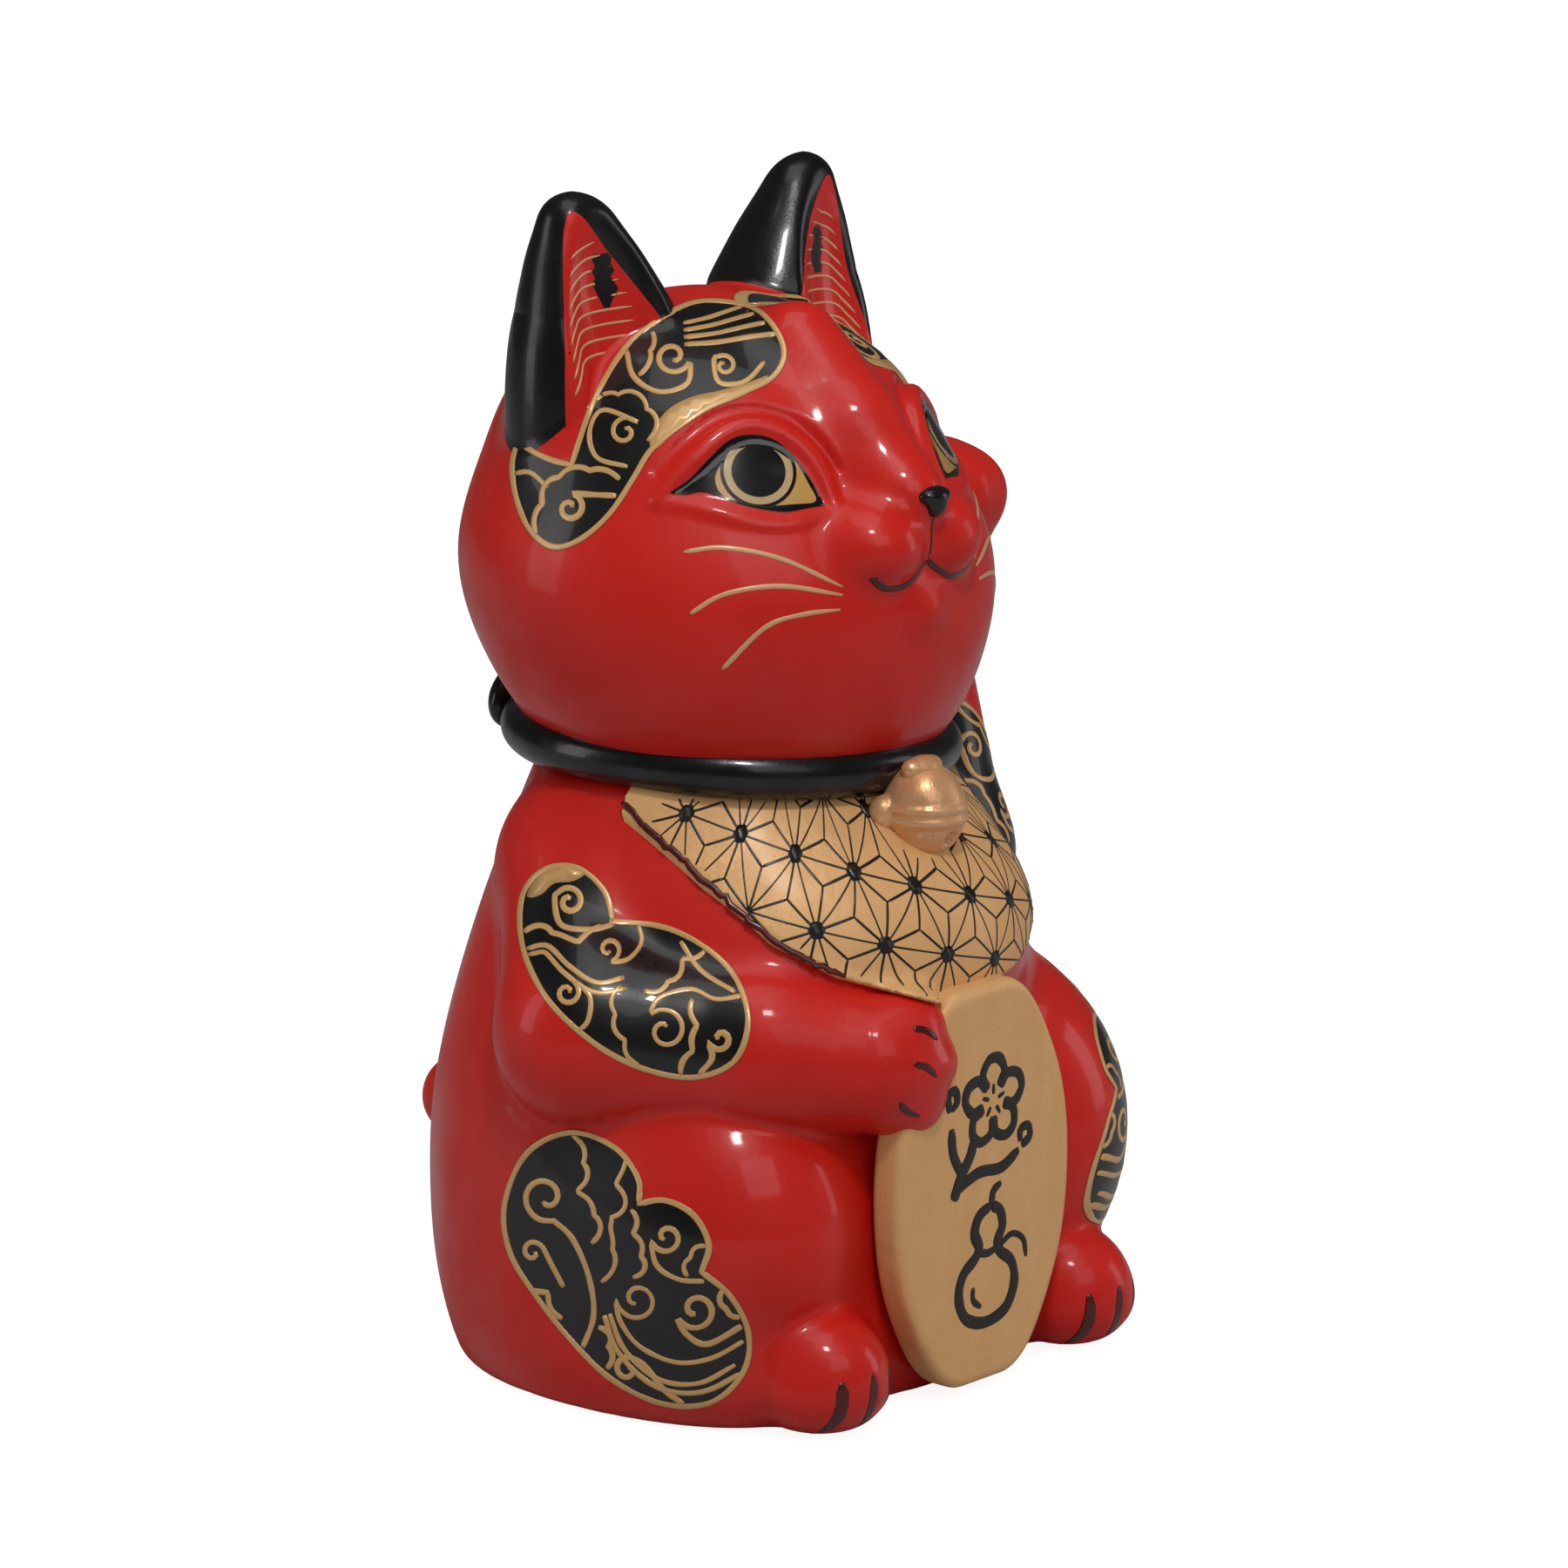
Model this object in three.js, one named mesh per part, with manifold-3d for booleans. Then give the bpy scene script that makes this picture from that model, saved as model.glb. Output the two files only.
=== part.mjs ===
// Beckoning cat figurine: a hollow ceramic money bank in the form of a sitting cat.
// The cat faces -Y, its left side is +X and it stands on z = 0. Millimetres.
import * as THREE from 'three';
import { mergeVertices } from 'three/addons/utils/BufferGeometryUtils.js';
import Module from 'manifold-3d';

const wasm = await Module();
wasm.setup();

// ---------------------------------------------------------------- driving dimensions
const gap = 0.3;                // clearance between two pieces that touch
const wall = 4;                 // thickness of the cast shells
const roundSteps = 26;          // facets around a large round form
const limbSteps = 14;           // facets around a limb
const smallSteps = 10;          // facets around a small piece

// Body: a turned torso, deeper at the chest, with haunches and shoulders.
const bodyRadius = 43.4;
const bodyDepthShare = 0.87;
const baseRadius = 39.5;
const hipHeight = 22.5;
const chestRadius = 34.8;
const chestHeight = 59.5;
const chestDepth = 26;
const neckRadius = 24.6;
const neckHeight = 78.5;
const bodyBack = 6.5;           // y of the body's axis at the floor
const bodyLean = 0.025;
const haunchWidth = 39;
const haunchLength = 50;
const haunchHeight = 47;
const haunchSpread = 22.5;

// Head: a turned form about an axis that leans back.
const headWidth = 70;
const headDepth = 67;
const headHeight = 59;          // from the neck joint to the crown
const headLevel = 22;           // from the neck joint to the widest level
const headBack = 6.6;           // y of the head's axis at the neck joint
const headLean = 0.14;
const neckBore = 36;            // diameter of the passage between head and body

// Ears.
const earWidth = 23;
const earDepth = 19;
const earSpread = 18;
const earTipSpread = 22;
const earRise = 13.6;           // of the tips above the crown

// Face.
const eyeWidth = 17.5;
const eyeHeight = 11;
const eyeSpread = 18.3;
const eyeLevel = 39.3;          // above the neck joint
const noseWidth = 4.4;
const noseLevel = 34.6;
const muzzleReach = 5;          // of the muzzle in front of the face

// Limbs.
const elbowRadius = 12;
const pawRadius = 9;
const pawLevel = 45;
const raisedElbowRadius = 10;
const raisedPawRadius = 8.8;
const footWidth = 18.8;
const footLength = 24;
const footHeight = 16.5;
const footSpread = 24;
const tailRadius = 6.8;

// Collar, bell and bib.
const cordDiameter = 5.8;
const collarTilt = 1.4;         // degrees, up at the back
const collarLean = 3.1;         // degrees, up at the right
const bellDiameter = 12;
const bibThickness = 1;
const bibDrop = 25;             // from the neck joint to the lowest point

// Coin tablet.
const kobanWidth = 34;
const kobanHeight = 50.5;
const kobanThickness = 5;

// Money bank: coin slot and the stopper under the base.
const slotLength = 32;
const slotWidth = 5;
const slotLevel = 40;
const stopperHole = 25;
const stopperFlange = 33;
const stopperRecess = 3.4;
const stopperHeight = 9;

// ---------------------------------------------------------------- solids
/** A closed manifold solid from a three.js geometry. */
function solidOf(geometry, matrix = new THREE.Matrix4()) {
  const bare = geometry.clone().applyMatrix4(matrix);
  bare.deleteAttribute('normal');
  bare.deleteAttribute('uv');
  const merged = mergeVertices(bare, 1e-4);
  const corners = merged.index.array;
  const kept = [];
  for (let i = 0; i < corners.length; i += 3) {
    const [a, b, c] = [corners[i], corners[i + 1], corners[i + 2]];
    if (a !== b && b !== c && c !== a) kept.push(a, b, c);
  }
  return new wasm.Manifold(new wasm.Mesh({
    numProp: 3,
    vertProperties: new Float32Array(merged.attributes.position.array),
    triVerts: new Uint32Array(kept),
  }));
}

/** Places something at `at`, turned by XYZ angles in degrees. */
function placed(at, turn = [0, 0, 0]) {
  const angles = turn.map(THREE.MathUtils.degToRad);
  return new THREE.Matrix4()
    .makeRotationFromEuler(new THREE.Euler(...angles))
    .setPosition(...at);
}

// Each form below is a function of `grow`: 0 gives the form, a positive value the form with room
// around it, and a negative value the form inside a wall.

/** An ellipsoid. */
function ball(at, radii, turn, steps = limbSteps) {
  return (grow) => {
    const shape = new THREE.SphereGeometry(1, steps, steps / 2);
    shape.rotateX(Math.PI / 2);
    shape.scale(...radii.map((radius) => radius + grow));
    return solidOf(shape, placed(at, turn));
  };
}

/** A round limb from one point to another, with its own radius at each end. */
function limb(from, to, fromRadius, toRadius) {
  return (grow) => {
    const start = new THREE.Vector3(...from);
    const along = new THREE.Vector3(...to).sub(start);
    const length = along.length();
    const taper = Math.asin((fromRadius - toRadius) / length);
    const profile = [];
    const arcSteps = 5;
    for (let i = 0; i <= arcSteps; i += 1) {
      const angle = THREE.MathUtils.lerp(-Math.PI / 2, taper, i / arcSteps);
      const radius = fromRadius + grow;
      profile.push(new THREE.Vector2(radius * Math.cos(angle), radius * Math.sin(angle)));
    }
    for (let i = 0; i <= arcSteps; i += 1) {
      const angle = THREE.MathUtils.lerp(taper, Math.PI / 2, i / arcSteps);
      const radius = toRadius + grow;
      profile.push(new THREE.Vector2(radius * Math.cos(angle), length + radius * Math.sin(angle)));
    }
    profile[0].x = 0;
    profile[profile.length - 1].x = 0;
    const shape = new THREE.LatheGeometry(profile, limbSteps);
    const up = new THREE.Vector3(0, 1, 0);
    const turn = new THREE.Quaternion().setFromUnitVectors(up, along.normalize());
    return solidOf(shape, new THREE.Matrix4().makeRotationFromQuaternion(turn).setPosition(start));
  };
}

/** The radius at height z of the smooth profile through `knots` of [radius, z]. */
function radiusAt(knots, z) {
  const points = profileCurve(knots).getPoints(200);
  const next = points.findIndex((point) => point.y > z);
  if (next < 1) return 0;
  const [lower, upper] = [points[next - 1], points[next]];
  return THREE.MathUtils.lerp(lower.x, upper.x, (z - lower.y) / (upper.y - lower.y));
}

function profileCurve(knots) {
  return new THREE.SplineCurve(knots.map(([radius, z]) => new THREE.Vector2(radius, z)));
}

/** A turned form about Z through `knots` of [radius, z], squashed in depth and leaning back. */
function turned(knots, depthShare, lean, place) {
  return (grow) => {
    const curve = profileCurve(knots);
    const count = Math.round(knots.length * 1.6);
    const profile = curve.getPoints(count).map((point, i) => {
      const along = curve.getTangent(i / count);
      return new THREE.Vector2(Math.max(point.x + along.y * grow, 0), point.y - along.x * grow);
    });
    profile[0].x = 0;
    profile[count].x = 0;
    const shape = new THREE.LatheGeometry(profile, roundSteps);
    shape.rotateX(Math.PI / 2);
    shape.scale(1, depthShare, 1);
    const shear = new THREE.Matrix4().makeShear(0, 0, 0, 0, 0, lean);
    return solidOf(shape, shear.premultiply(placed(place)));
  };
}

/** All the members of a form joined into one solid. */
function joined(form, grow = 0) {
  return form.map((member) => member(grow)).reduce((sum, solid) => sum.add(solid));
}

/** An upright round bar about (x, y), from z = low to z = high. */
function bar(diameter, low, high, x = 0, y = 0, steps = roundSteps) {
  const shape = new THREE.CylinderGeometry(diameter / 2, diameter / 2, high - low, steps);
  shape.rotateX(Math.PI / 2);
  return solidOf(shape, placed([x, y, (low + high) / 2]));
}

/** A box between two corners. */
function block(low, high) {
  const size = high.map((value, i) => value - low[i]);
  const middle = high.map((value, i) => (value + low[i]) / 2);
  return solidOf(new THREE.BoxGeometry(...size), placed(middle));
}

/** The largest of the separate bodies that a cut leaves, so that no sliver stays behind. */
function mainBody(solid) {
  return solid.decompose().reduce((best, body) => (body.volume() > best.volume() ? body : best));
}

// ---------------------------------------------------------------- forms
const bodyKnots = [
  [0, -6], [baseRadius - 6, -5], [baseRadius, 0.5], [bodyRadius - 0.8, 11], [bodyRadius, hipHeight],
  [bodyRadius - 2.2, (hipHeight + chestHeight) / 2], [chestRadius, chestHeight],
  [neckRadius + 4, neckHeight - 6], [neckRadius - 4, neckHeight + 3], [0, neckHeight + 4],
];
const bodyRadiusAt = (z) => radiusAt(bodyKnots, z);

/** The y of the torso's surface at (x, z), in front or at the back. */
function bodySurface(x, z, towardsBack = false) {
  const depth = bodyDepthShare * Math.sqrt(Math.max(bodyRadiusAt(z) ** 2 - x ** 2, 0));
  return bodyBack + bodyLean * z + (towardsBack ? depth : -depth);
}

const haunchRadii = [haunchWidth / 2, haunchLength / 2, haunchHeight / 2];
const haunchPlace = (side) => [side * haunchSpread, bodyBack - 12.3, haunchHeight / 2 - 0.5];
const seatRadii = [haunchWidth / 2 - 1, haunchLength / 2 - 1, 13];
const shoulderPlace = (side) => [side * (neckRadius - 3), bodyBack + 5, neckHeight - 13.5];
const chestPlace = [0, bodyBack - 11.5, chestHeight - 4];
const bodyForm = [
  turned(bodyKnots, bodyDepthShare, bodyLean, [0, bodyBack, 0]),
  ...[-1, 1].map((side) => ball(haunchPlace(side), haunchRadii, [0, 0, side * 14])),
  ...[-1, 1].map((side) => ball(shoulderPlace(side), [12.5, 14, 13])),
  ...[-1, 1].map((side) => ball([side * haunchSpread, bodyBack - 12, 7], seatRadii)),
  ball(chestPlace, [chestRadius - 6.5, chestDepth, 19]),
];

const headKnots = [
  [0, -6], [neckRadius - 6, -5], [neckRadius + 1.2, 2], [headWidth / 2 - 3.6, 10.5],
  [headWidth / 2, headLevel], [headWidth / 2 - 1.8, 31], [headWidth / 2 - 5.4, eyeLevel],
  [headWidth / 2 - 12, headHeight - 9], [headWidth / 2 - 24, headHeight - 1.5], [0, headHeight],
];
const headDepthShare = headDepth / headWidth;

/** The y of the front of the head's turned form at (x, z), z measured from the neck joint. */
function faceSurface(x, z) {
  const depth = headDepthShare * Math.sqrt(Math.max(radiusAt(headKnots, z) ** 2 - x ** 2, 0));
  return headBack + headLean * z - depth;
}

const onNeck = (x, y, z) => [x, y, neckHeight + z];
const muzzleFront = faceSurface(0, noseLevel) - muzzleReach;
const headForm = [
  turned(headKnots, headDepthShare, headLean, onNeck(0, headBack, 0)),
  ...[-1, 1].map((side) => ball(onNeck(side * 6, muzzleFront + 9.2, 27), [8.5, 8.5, 7.5])),
  ball(onNeck(0, muzzleFront + 9, noseLevel + 0.4), [5.5, 9, 6]),
];

const elbowHeight = (hipHeight + neckHeight) / 2 - 2.5;
const elbow = [-(bodyRadiusAt(elbowHeight) - 4.5), bodyBack - 6, elbowHeight];
const pawPlace = [-15, bodySurface(0, pawLevel) - kobanThickness + 4.2, pawLevel];
const shoulderHeight = neckHeight - 10;
const shoulder = [-(bodyRadiusAt(shoulderHeight) - 6.5), bodyBack + 8, shoulderHeight];
const forearm = elbow.map((value, i) => THREE.MathUtils.lerp(value, pawPlace[i], 0.62));
const holdingForm = [
  limb(shoulder, elbow, 9.3, elbowRadius),
  limb(elbow, forearm, elbowRadius, pawRadius + 1.8),
  limb(forearm, pawPlace, pawRadius + 1.8, pawRadius),
];

const raisedElbow = [chestRadius - 0.5, bodyBack - 4.3, chestHeight - 1];
const raisedPaw = onNeck(headWidth / 2 + 1.2, headBack + 0.4, 27);
const raisedWrist = onNeck(headWidth / 2 - 1.2, headBack + 3, 12);
const raisedForm = [
  limb([neckRadius + 2.5, bodyBack + 5, neckHeight - 12], raisedElbow, 9, raisedElbowRadius),
  limb(raisedElbow, raisedWrist, raisedElbowRadius, 7.4),
  limb(raisedWrist, raisedPaw, 7.4, raisedPawRadius),
];

const footPlace = (side) => [side * footSpread, bodySurface(footSpread, 8) - 1, footHeight / 2 - 0.7];
const footForm = (side) => [ball(footPlace(side), [footWidth / 2, footLength / 2, footHeight / 2])];

const collarRadius = neckRadius + cordDiameter / 2 - 1;
const collarCentre = [0, bodyBack + bodyLean * neckHeight + 0.6, neckHeight];
function collarRing(grow) {
  const shape = new THREE.TorusGeometry(collarRadius, cordDiameter / 2 + grow, 10, 36);
  return solidOf(shape, placed(collarCentre, [collarTilt, collarLean, 0]));
}

/** A pointed ear, upright at its base and bending outwards to its tip. */
function earForm(side) {
  return (grow) => {
    const tip = headHeight + earRise;
    const curve = profileCurve([
      [0, tip - 42], [earWidth / 2, tip - 38], [earWidth / 2 + 0.4, tip - 22],
      [earWidth / 2 - 0.6, tip - 14.5],
      [earWidth / 2 - 3.2, tip - 8.5], [earWidth / 2 - 6.6, tip - 2.6], [0, tip],
    ]);
    const profile = curve.getPoints(11)
      .map((point) => new THREE.Vector2(Math.max(point.x + grow, 0), point.y));
    profile[0].x = 0;
    profile[profile.length - 1].set(0, tip + grow);
    const shape = new THREE.LatheGeometry(profile, limbSteps);
    shape.rotateX(Math.PI / 2);
    shape.scale(1, earDepth / earWidth, 1);
    const corners = shape.attributes.position;
    for (let i = 0; i < corners.count; i += 1) {
      const bend = THREE.MathUtils.clamp((corners.getZ(i) - tip + 16) / 16, 0, 1);
      corners.setX(i, corners.getX(i) + side * (earTipSpread - earSpread) * bend);
    }
    return solidOf(shape, placed(onNeck(side * earSpread, headBack + headLean * headHeight + 2.2, 0)));
  };
}

// ---------------------------------------------------------------- pieces
const below = block([-90, -90, -20], [90, 90, 0]);
const aboveNeck = block([-90, -90, neckHeight - gap / 2], [90, 90, neckHeight + 100]);
const belowNeck = block([-90, -90, neckHeight - 60], [90, 90, neckHeight + gap / 2]);

const eyeTurn = (side) => [0, 0, side * 36];
const eyeDepth = faceSurface(eyeSpread, eyeLevel) + 3.2;
const eyePlace = (side) => onNeck(side * eyeSpread * 0.93, eyeDepth, eyeLevel);
const eyeReach = [eyeWidth / 2, 5, eyeHeight / 2];
const eyeForm = (side) => [ball(eyePlace(side), eyeReach, eyeTurn(side), smallSteps)];
const noseReach = [noseWidth / 2, 1.8, noseWidth * 0.36];
const noseForm = [
  ball(onNeck(0, muzzleFront + 0.5, noseLevel), noseReach, undefined, smallSteps),
];

const headOuter = joined(headForm);
const headRoom = joined(headForm, gap);
const bodyOuter = joined(bodyForm);
const bodyRoom = joined(bodyForm, gap);
const neckPassage = bar(neckBore, neckHeight - 18, neckHeight + 20, 0, collarCentre[1]);
const collarRoom = collarRing(gap);

const eyeRoom = joined([...eyeForm(1), ...eyeForm(-1)], gap);
const slot = block(
  onNeck(-slotLength / 2, headBack + headDepth * 0.2, slotLevel - slotWidth / 2),
  onNeck(slotLength / 2, headBack + headDepth, slotLevel + slotWidth / 2),
);
const eyeSeats = joined([...eyeForm(1), ...eyeForm(-1)], wall / 2);
const headCavity = joined(headForm.slice(0, 1), -wall).subtract(eyeSeats);
const headShell = mainBody(headOuter
  .subtract(belowNeck).subtract(headCavity).subtract(neckPassage).subtract(slot)
  .subtract(collarRoom).subtract(eyeRoom).subtract(joined(noseForm, gap)));

/** The coin tablet: an upright plate with bulging sides, its foot on the floor's level. */
function kobanBlank(grow) {
  const half = kobanWidth / 2 + grow;
  const top = kobanHeight + grow;
  const outline = new THREE.Shape();
  outline.moveTo(-half * 0.45, -grow);
  outline.lineTo(half * 0.45, -grow);
  outline.bezierCurveTo(half * 0.8, -grow, half, top * 0.2, half, top * 0.45);
  outline.bezierCurveTo(half, top * 0.7, half * 0.85, top, half * 0.4, top);
  outline.lineTo(-half * 0.4, top);
  outline.bezierCurveTo(-half * 0.85, top, -half, top * 0.7, -half, top * 0.45);
  outline.bezierCurveTo(-half, top * 0.2, -half * 0.8, -grow, -half * 0.45, -grow);
  const depth = kobanThickness - 2 + 2 * grow;
  const shape = new THREE.ExtrudeGeometry(outline, {
    depth, bevelSize: 1, bevelThickness: 1, bevelOffset: -1, bevelSegments: 1, curveSegments: 7,
  });
  shape.translate(0, 0, -depth / 2);
  shape.rotateX(Math.PI / 2);
  const front = bodySurface(0, hipHeight) + 1 - kobanThickness / 2;
  return solidOf(shape, placed([-0.5, front, 1.2]));
}

const holdingRoom = joined(holdingForm, gap);
const feetRoom = joined([...footForm(-1), ...footForm(1)], gap);
const kobanRoom = kobanBlank(gap);
const koban = mainBody(kobanBlank(0).subtract(holdingRoom).subtract(feetRoom));

const stopperAxis = [0, bodyBack];
const flangeRoom = bar(stopperFlange + 2 * gap, -1, stopperRecess, ...stopperAxis);
const stopperBore = bar(stopperHole, -1, wall + 8, ...stopperAxis);
const bodyCavity = joined(bodyForm.slice(0, 1), -wall)
  .subtract(block([-90, -90, -20], [90, 90, wall + stopperRecess]));
const bodyShell = mainBody(bodyOuter
  .subtract(below).subtract(aboveNeck).subtract(bodyCavity).subtract(neckPassage)
  .subtract(flangeRoom).subtract(stopperBore).subtract(collarRoom).subtract(kobanRoom));

const earScoop = (side) => ball(
  onNeck(side * (earSpread + 3), headBack + headLean * headHeight - 7, headHeight - 2),
  [8.5, 6.5, 17], [-8, side * 5, side * 14],
)(0);
const ear = (side) => mainBody(earForm(side)(0).subtract(earScoop(side)).subtract(headRoom));

const holdingArm = mainBody(joined(holdingForm).subtract(bodyRoom).subtract(collarRoom));
const raisedArm = mainBody(joined(raisedForm).subtract(bodyRoom).subtract(headRoom).subtract(collarRoom));
const hindFoot = (side) => mainBody(joined(footForm(side)).subtract(bodyRoom).subtract(below));
const tailBack = bodySurface(0, hipHeight, true);
const tailForm = [
  limb([-5, tailBack - 5, hipHeight], [-10, tailBack + 3.5, hipHeight + 3], tailRadius, tailRadius - 1),
];
const tail = mainBody(joined(tailForm).subtract(bodyRoom));

const bowBack = collarCentre[1] + collarRadius + cordDiameter / 2;
const bowForm = [
  ball(onNeck(0, bowBack + 2, 2), [3.6, 3.4, 3.8], undefined, smallSteps),
  ...[-1, 1].map((side) => ball(
    onNeck(side * 8, bowBack + 0.5, 2.6), [7, 2.8, 4.4], [0, side * 8, side * -14], smallSteps,
  )),
];
const bow = mainBody(joined(bowForm).subtract(collarRoom).subtract(headRoom).subtract(bodyRoom));

const bellRadius = bellDiameter / 2;
const collarFront = collarCentre[1] - collarRadius;
const bellPlace = onNeck(0, collarFront - 5, -cordDiameter / 2 - 2.2);
const bellForm = [ball(bellPlace, [bellRadius, bellRadius, bellRadius * 0.92], undefined, limbSteps)];
const bellBelt = solidOf(new THREE.TorusGeometry(bellRadius, 0.7, 6, 24), placed(bellPlace));
const bellBlank = joined(bellForm).add(bellBelt);
const bellRoom = joined(bellForm, gap + 0.7);
const bell = mainBody(bellBlank.subtract(collarRoom));
const loopPlace = [bellPlace[0], bellPlace[1] - 0.4, bellPlace[2] + bellRadius + 0.9];
const bellLoop = mainBody(ball(loopPlace, [1.7, 2.4, 2.2], undefined, smallSteps)(0)
  .subtract(collarRoom).subtract(joined(bellForm, gap)).subtract(headRoom));

/** The bib's outline, seen from the front, as a prism through the front of the body. */
function bibPrism() {
  const half = neckRadius + 4;
  const foot = neckHeight - bibDrop;
  const outline = new THREE.Shape();
  outline.moveTo(-half, neckHeight);
  outline.quadraticCurveTo(-half + 1.5, neckHeight - 12, -half + 7, foot + 7);
  outline.quadraticCurveTo(-half + 14, foot, 0, foot);
  outline.quadraticCurveTo(half - 14, foot, half - 7, foot + 7);
  outline.quadraticCurveTo(half - 1.5, neckHeight - 12, half, neckHeight);
  outline.closePath();
  const shape = new THREE.ExtrudeGeometry(outline, { depth: 60, bevelEnabled: false, curveSegments: 4 });
  shape.rotateX(Math.PI / 2);
  return solidOf(shape, placed([0, bodyBack, 0]));
}
const bib = mainBody(joined(bodyForm, gap + bibThickness).intersect(bibPrism())
  .subtract(bodyRoom).subtract(collarRoom).subtract(aboveNeck).subtract(holdingRoom)
  .subtract(joined(raisedForm, gap)).subtract(kobanRoom).subtract(bellRoom));

const stemRadius = stopperHole / 2 - gap;
const stopperProfile = [
  [0, 1], [stopperFlange / 2, 1], [stopperFlange / 2, stopperRecess - gap],
  [stemRadius, stopperRecess - gap],
  [stemRadius, stopperHeight], [stemRadius - 2.5, stopperHeight], [stemRadius - 3.2, stopperRecess],
  [0, stopperRecess],
].map(([radius, z]) => new THREE.Vector2(radius, z));
const stopperShape = new THREE.LatheGeometry(stopperProfile, roundSteps);
stopperShape.rotateX(Math.PI / 2);
const stopper = solidOf(stopperShape, placed([...stopperAxis, 0]));

// ---------------------------------------------------------------- materials and assembly
const red = { color: 0xb0201a, roughness: 0.42, metalness: 0 };
const black = { color: 0x0d0c0d, roughness: 0.18, metalness: 0 };
const gold = { color: 0xb98a3e, roughness: 0.5, metalness: 0.5 };
const copper = { color: 0xb0773a, roughness: 0.35, metalness: 0.7 };
const rubber = { color: 0x2a2a2b, roughness: 0.8, metalness: 0 };
const amber = { color: 0xb8893a, roughness: 0.15, metalness: 0 };

/** A named mesh from a finished solid. */
function mesh(name, solid, look) {
  const { vertProperties, triVerts } = solid.getMesh();
  const geometry = new THREE.BufferGeometry();
  geometry.setAttribute('position', new THREE.BufferAttribute(vertProperties, 3));
  geometry.setIndex(new THREE.BufferAttribute(triVerts, 1));
  geometry.computeVertexNormals();
  const made = new THREE.Mesh(geometry, new THREE.MeshStandardMaterial(look));
  made.name = name;
  return made;
}

const figure = new THREE.Group();
figure.add(
  mesh('body_shell', bodyShell, red),
  mesh('head_shell', headShell, red),
  mesh('left_ear', ear(1), black),
  mesh('right_ear', ear(-1), black),
  mesh('left_eye', joined(eyeForm(1)), amber),
  mesh('right_eye', joined(eyeForm(-1)), amber),
  mesh('nose', joined(noseForm), black),
  mesh('holding_arm', holdingArm, red),
  mesh('raised_arm', raisedArm, red),
  mesh('left_hind_foot', hindFoot(1), red),
  mesh('right_hind_foot', hindFoot(-1), red),
  mesh('tail', tail, red),
  mesh('collar', collarRing(0), black),
  mesh('collar_bow', bow, black),
  mesh('bell', bell.subtract(bodyRoom), copper),
  mesh('bell_loop', bellLoop, copper),
  mesh('bib', bib, gold),
  mesh('koban', koban, gold),
  mesh('base_stopper', stopper, rubber),
);

// The origin lies under the middle of the footprint's box.
const bounds = new THREE.Box3().setFromObject(figure);
figure.position.y = -(bounds.min.y + bounds.max.y) / 2;
figure.position.x = -(bounds.min.x + bounds.max.x) / 2;

const cat = new THREE.Group();
cat.name = 'beckoning_cat';
cat.add(figure);
export default cat;
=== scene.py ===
"""Beckoning cat figurine: the sculpted shapes, painted decoration and finishes of a ceramic money cat.

Shapes are sculpted as distance fields in the cat's own axes, in millimetres: x to its left, y to its back and
z up from the floor, with the origin under the middle of its head. Painted work is laid on the sculpted surfaces
as thin films and raised lines. Everything is placed from the frame and given to Blender in metres.
"""
import logging
import math
from dataclasses import dataclass, field
from enum import Enum
from typing import Callable, Iterable, Sequence

import bpy
import numpy as np
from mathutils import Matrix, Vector
from mathutils.geometry import delaunay_2d_cdt


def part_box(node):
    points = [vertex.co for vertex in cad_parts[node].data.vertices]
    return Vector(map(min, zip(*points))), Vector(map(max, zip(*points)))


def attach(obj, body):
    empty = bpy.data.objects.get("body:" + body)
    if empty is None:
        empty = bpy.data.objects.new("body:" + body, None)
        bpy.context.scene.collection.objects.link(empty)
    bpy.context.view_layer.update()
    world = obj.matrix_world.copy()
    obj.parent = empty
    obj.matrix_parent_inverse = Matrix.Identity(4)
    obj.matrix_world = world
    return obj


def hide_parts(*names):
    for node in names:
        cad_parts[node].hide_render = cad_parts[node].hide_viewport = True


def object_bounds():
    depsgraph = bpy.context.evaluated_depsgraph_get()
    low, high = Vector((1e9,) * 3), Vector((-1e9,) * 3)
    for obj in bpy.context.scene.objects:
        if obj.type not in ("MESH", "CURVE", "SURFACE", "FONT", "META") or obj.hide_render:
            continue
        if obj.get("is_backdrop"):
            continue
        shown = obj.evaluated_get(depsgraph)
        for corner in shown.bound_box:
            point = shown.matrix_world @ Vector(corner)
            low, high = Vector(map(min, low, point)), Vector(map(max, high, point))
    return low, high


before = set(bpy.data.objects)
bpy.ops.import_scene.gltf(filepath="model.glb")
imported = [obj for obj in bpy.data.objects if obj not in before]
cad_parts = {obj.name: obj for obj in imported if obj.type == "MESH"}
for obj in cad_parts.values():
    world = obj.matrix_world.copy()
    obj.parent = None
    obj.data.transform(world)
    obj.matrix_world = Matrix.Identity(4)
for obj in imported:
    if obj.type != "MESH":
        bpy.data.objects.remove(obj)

log = logging.getLogger("beckoning_cat")

Points = np.ndarray
Form = Callable[[Points], np.ndarray]
Pair = tuple[float, float]
Triple = tuple[float, float, float]

MM = 0.001
FAR = 1.0e3


# ------------------------ forms
def rotation(turn: Triple) -> np.ndarray:
    """A rotation matrix from X, Y and Z angles in degrees.

    Args:
        turn: the angles, applied in that order.

    Returns:
        A 3 by 3 array.
    """
    x, y, z = (math.radians(angle) for angle in turn)
    about_x = np.array([[1, 0, 0], [0, math.cos(x), -math.sin(x)], [0, math.sin(x), math.cos(x)]])
    about_y = np.array([[math.cos(y), 0, math.sin(y)], [0, 1, 0], [-math.sin(y), 0, math.cos(y)]])
    about_z = np.array([[math.cos(z), -math.sin(z), 0], [math.sin(z), math.cos(z), 0], [0, 0, 1]])
    return about_z @ about_y @ about_x


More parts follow.
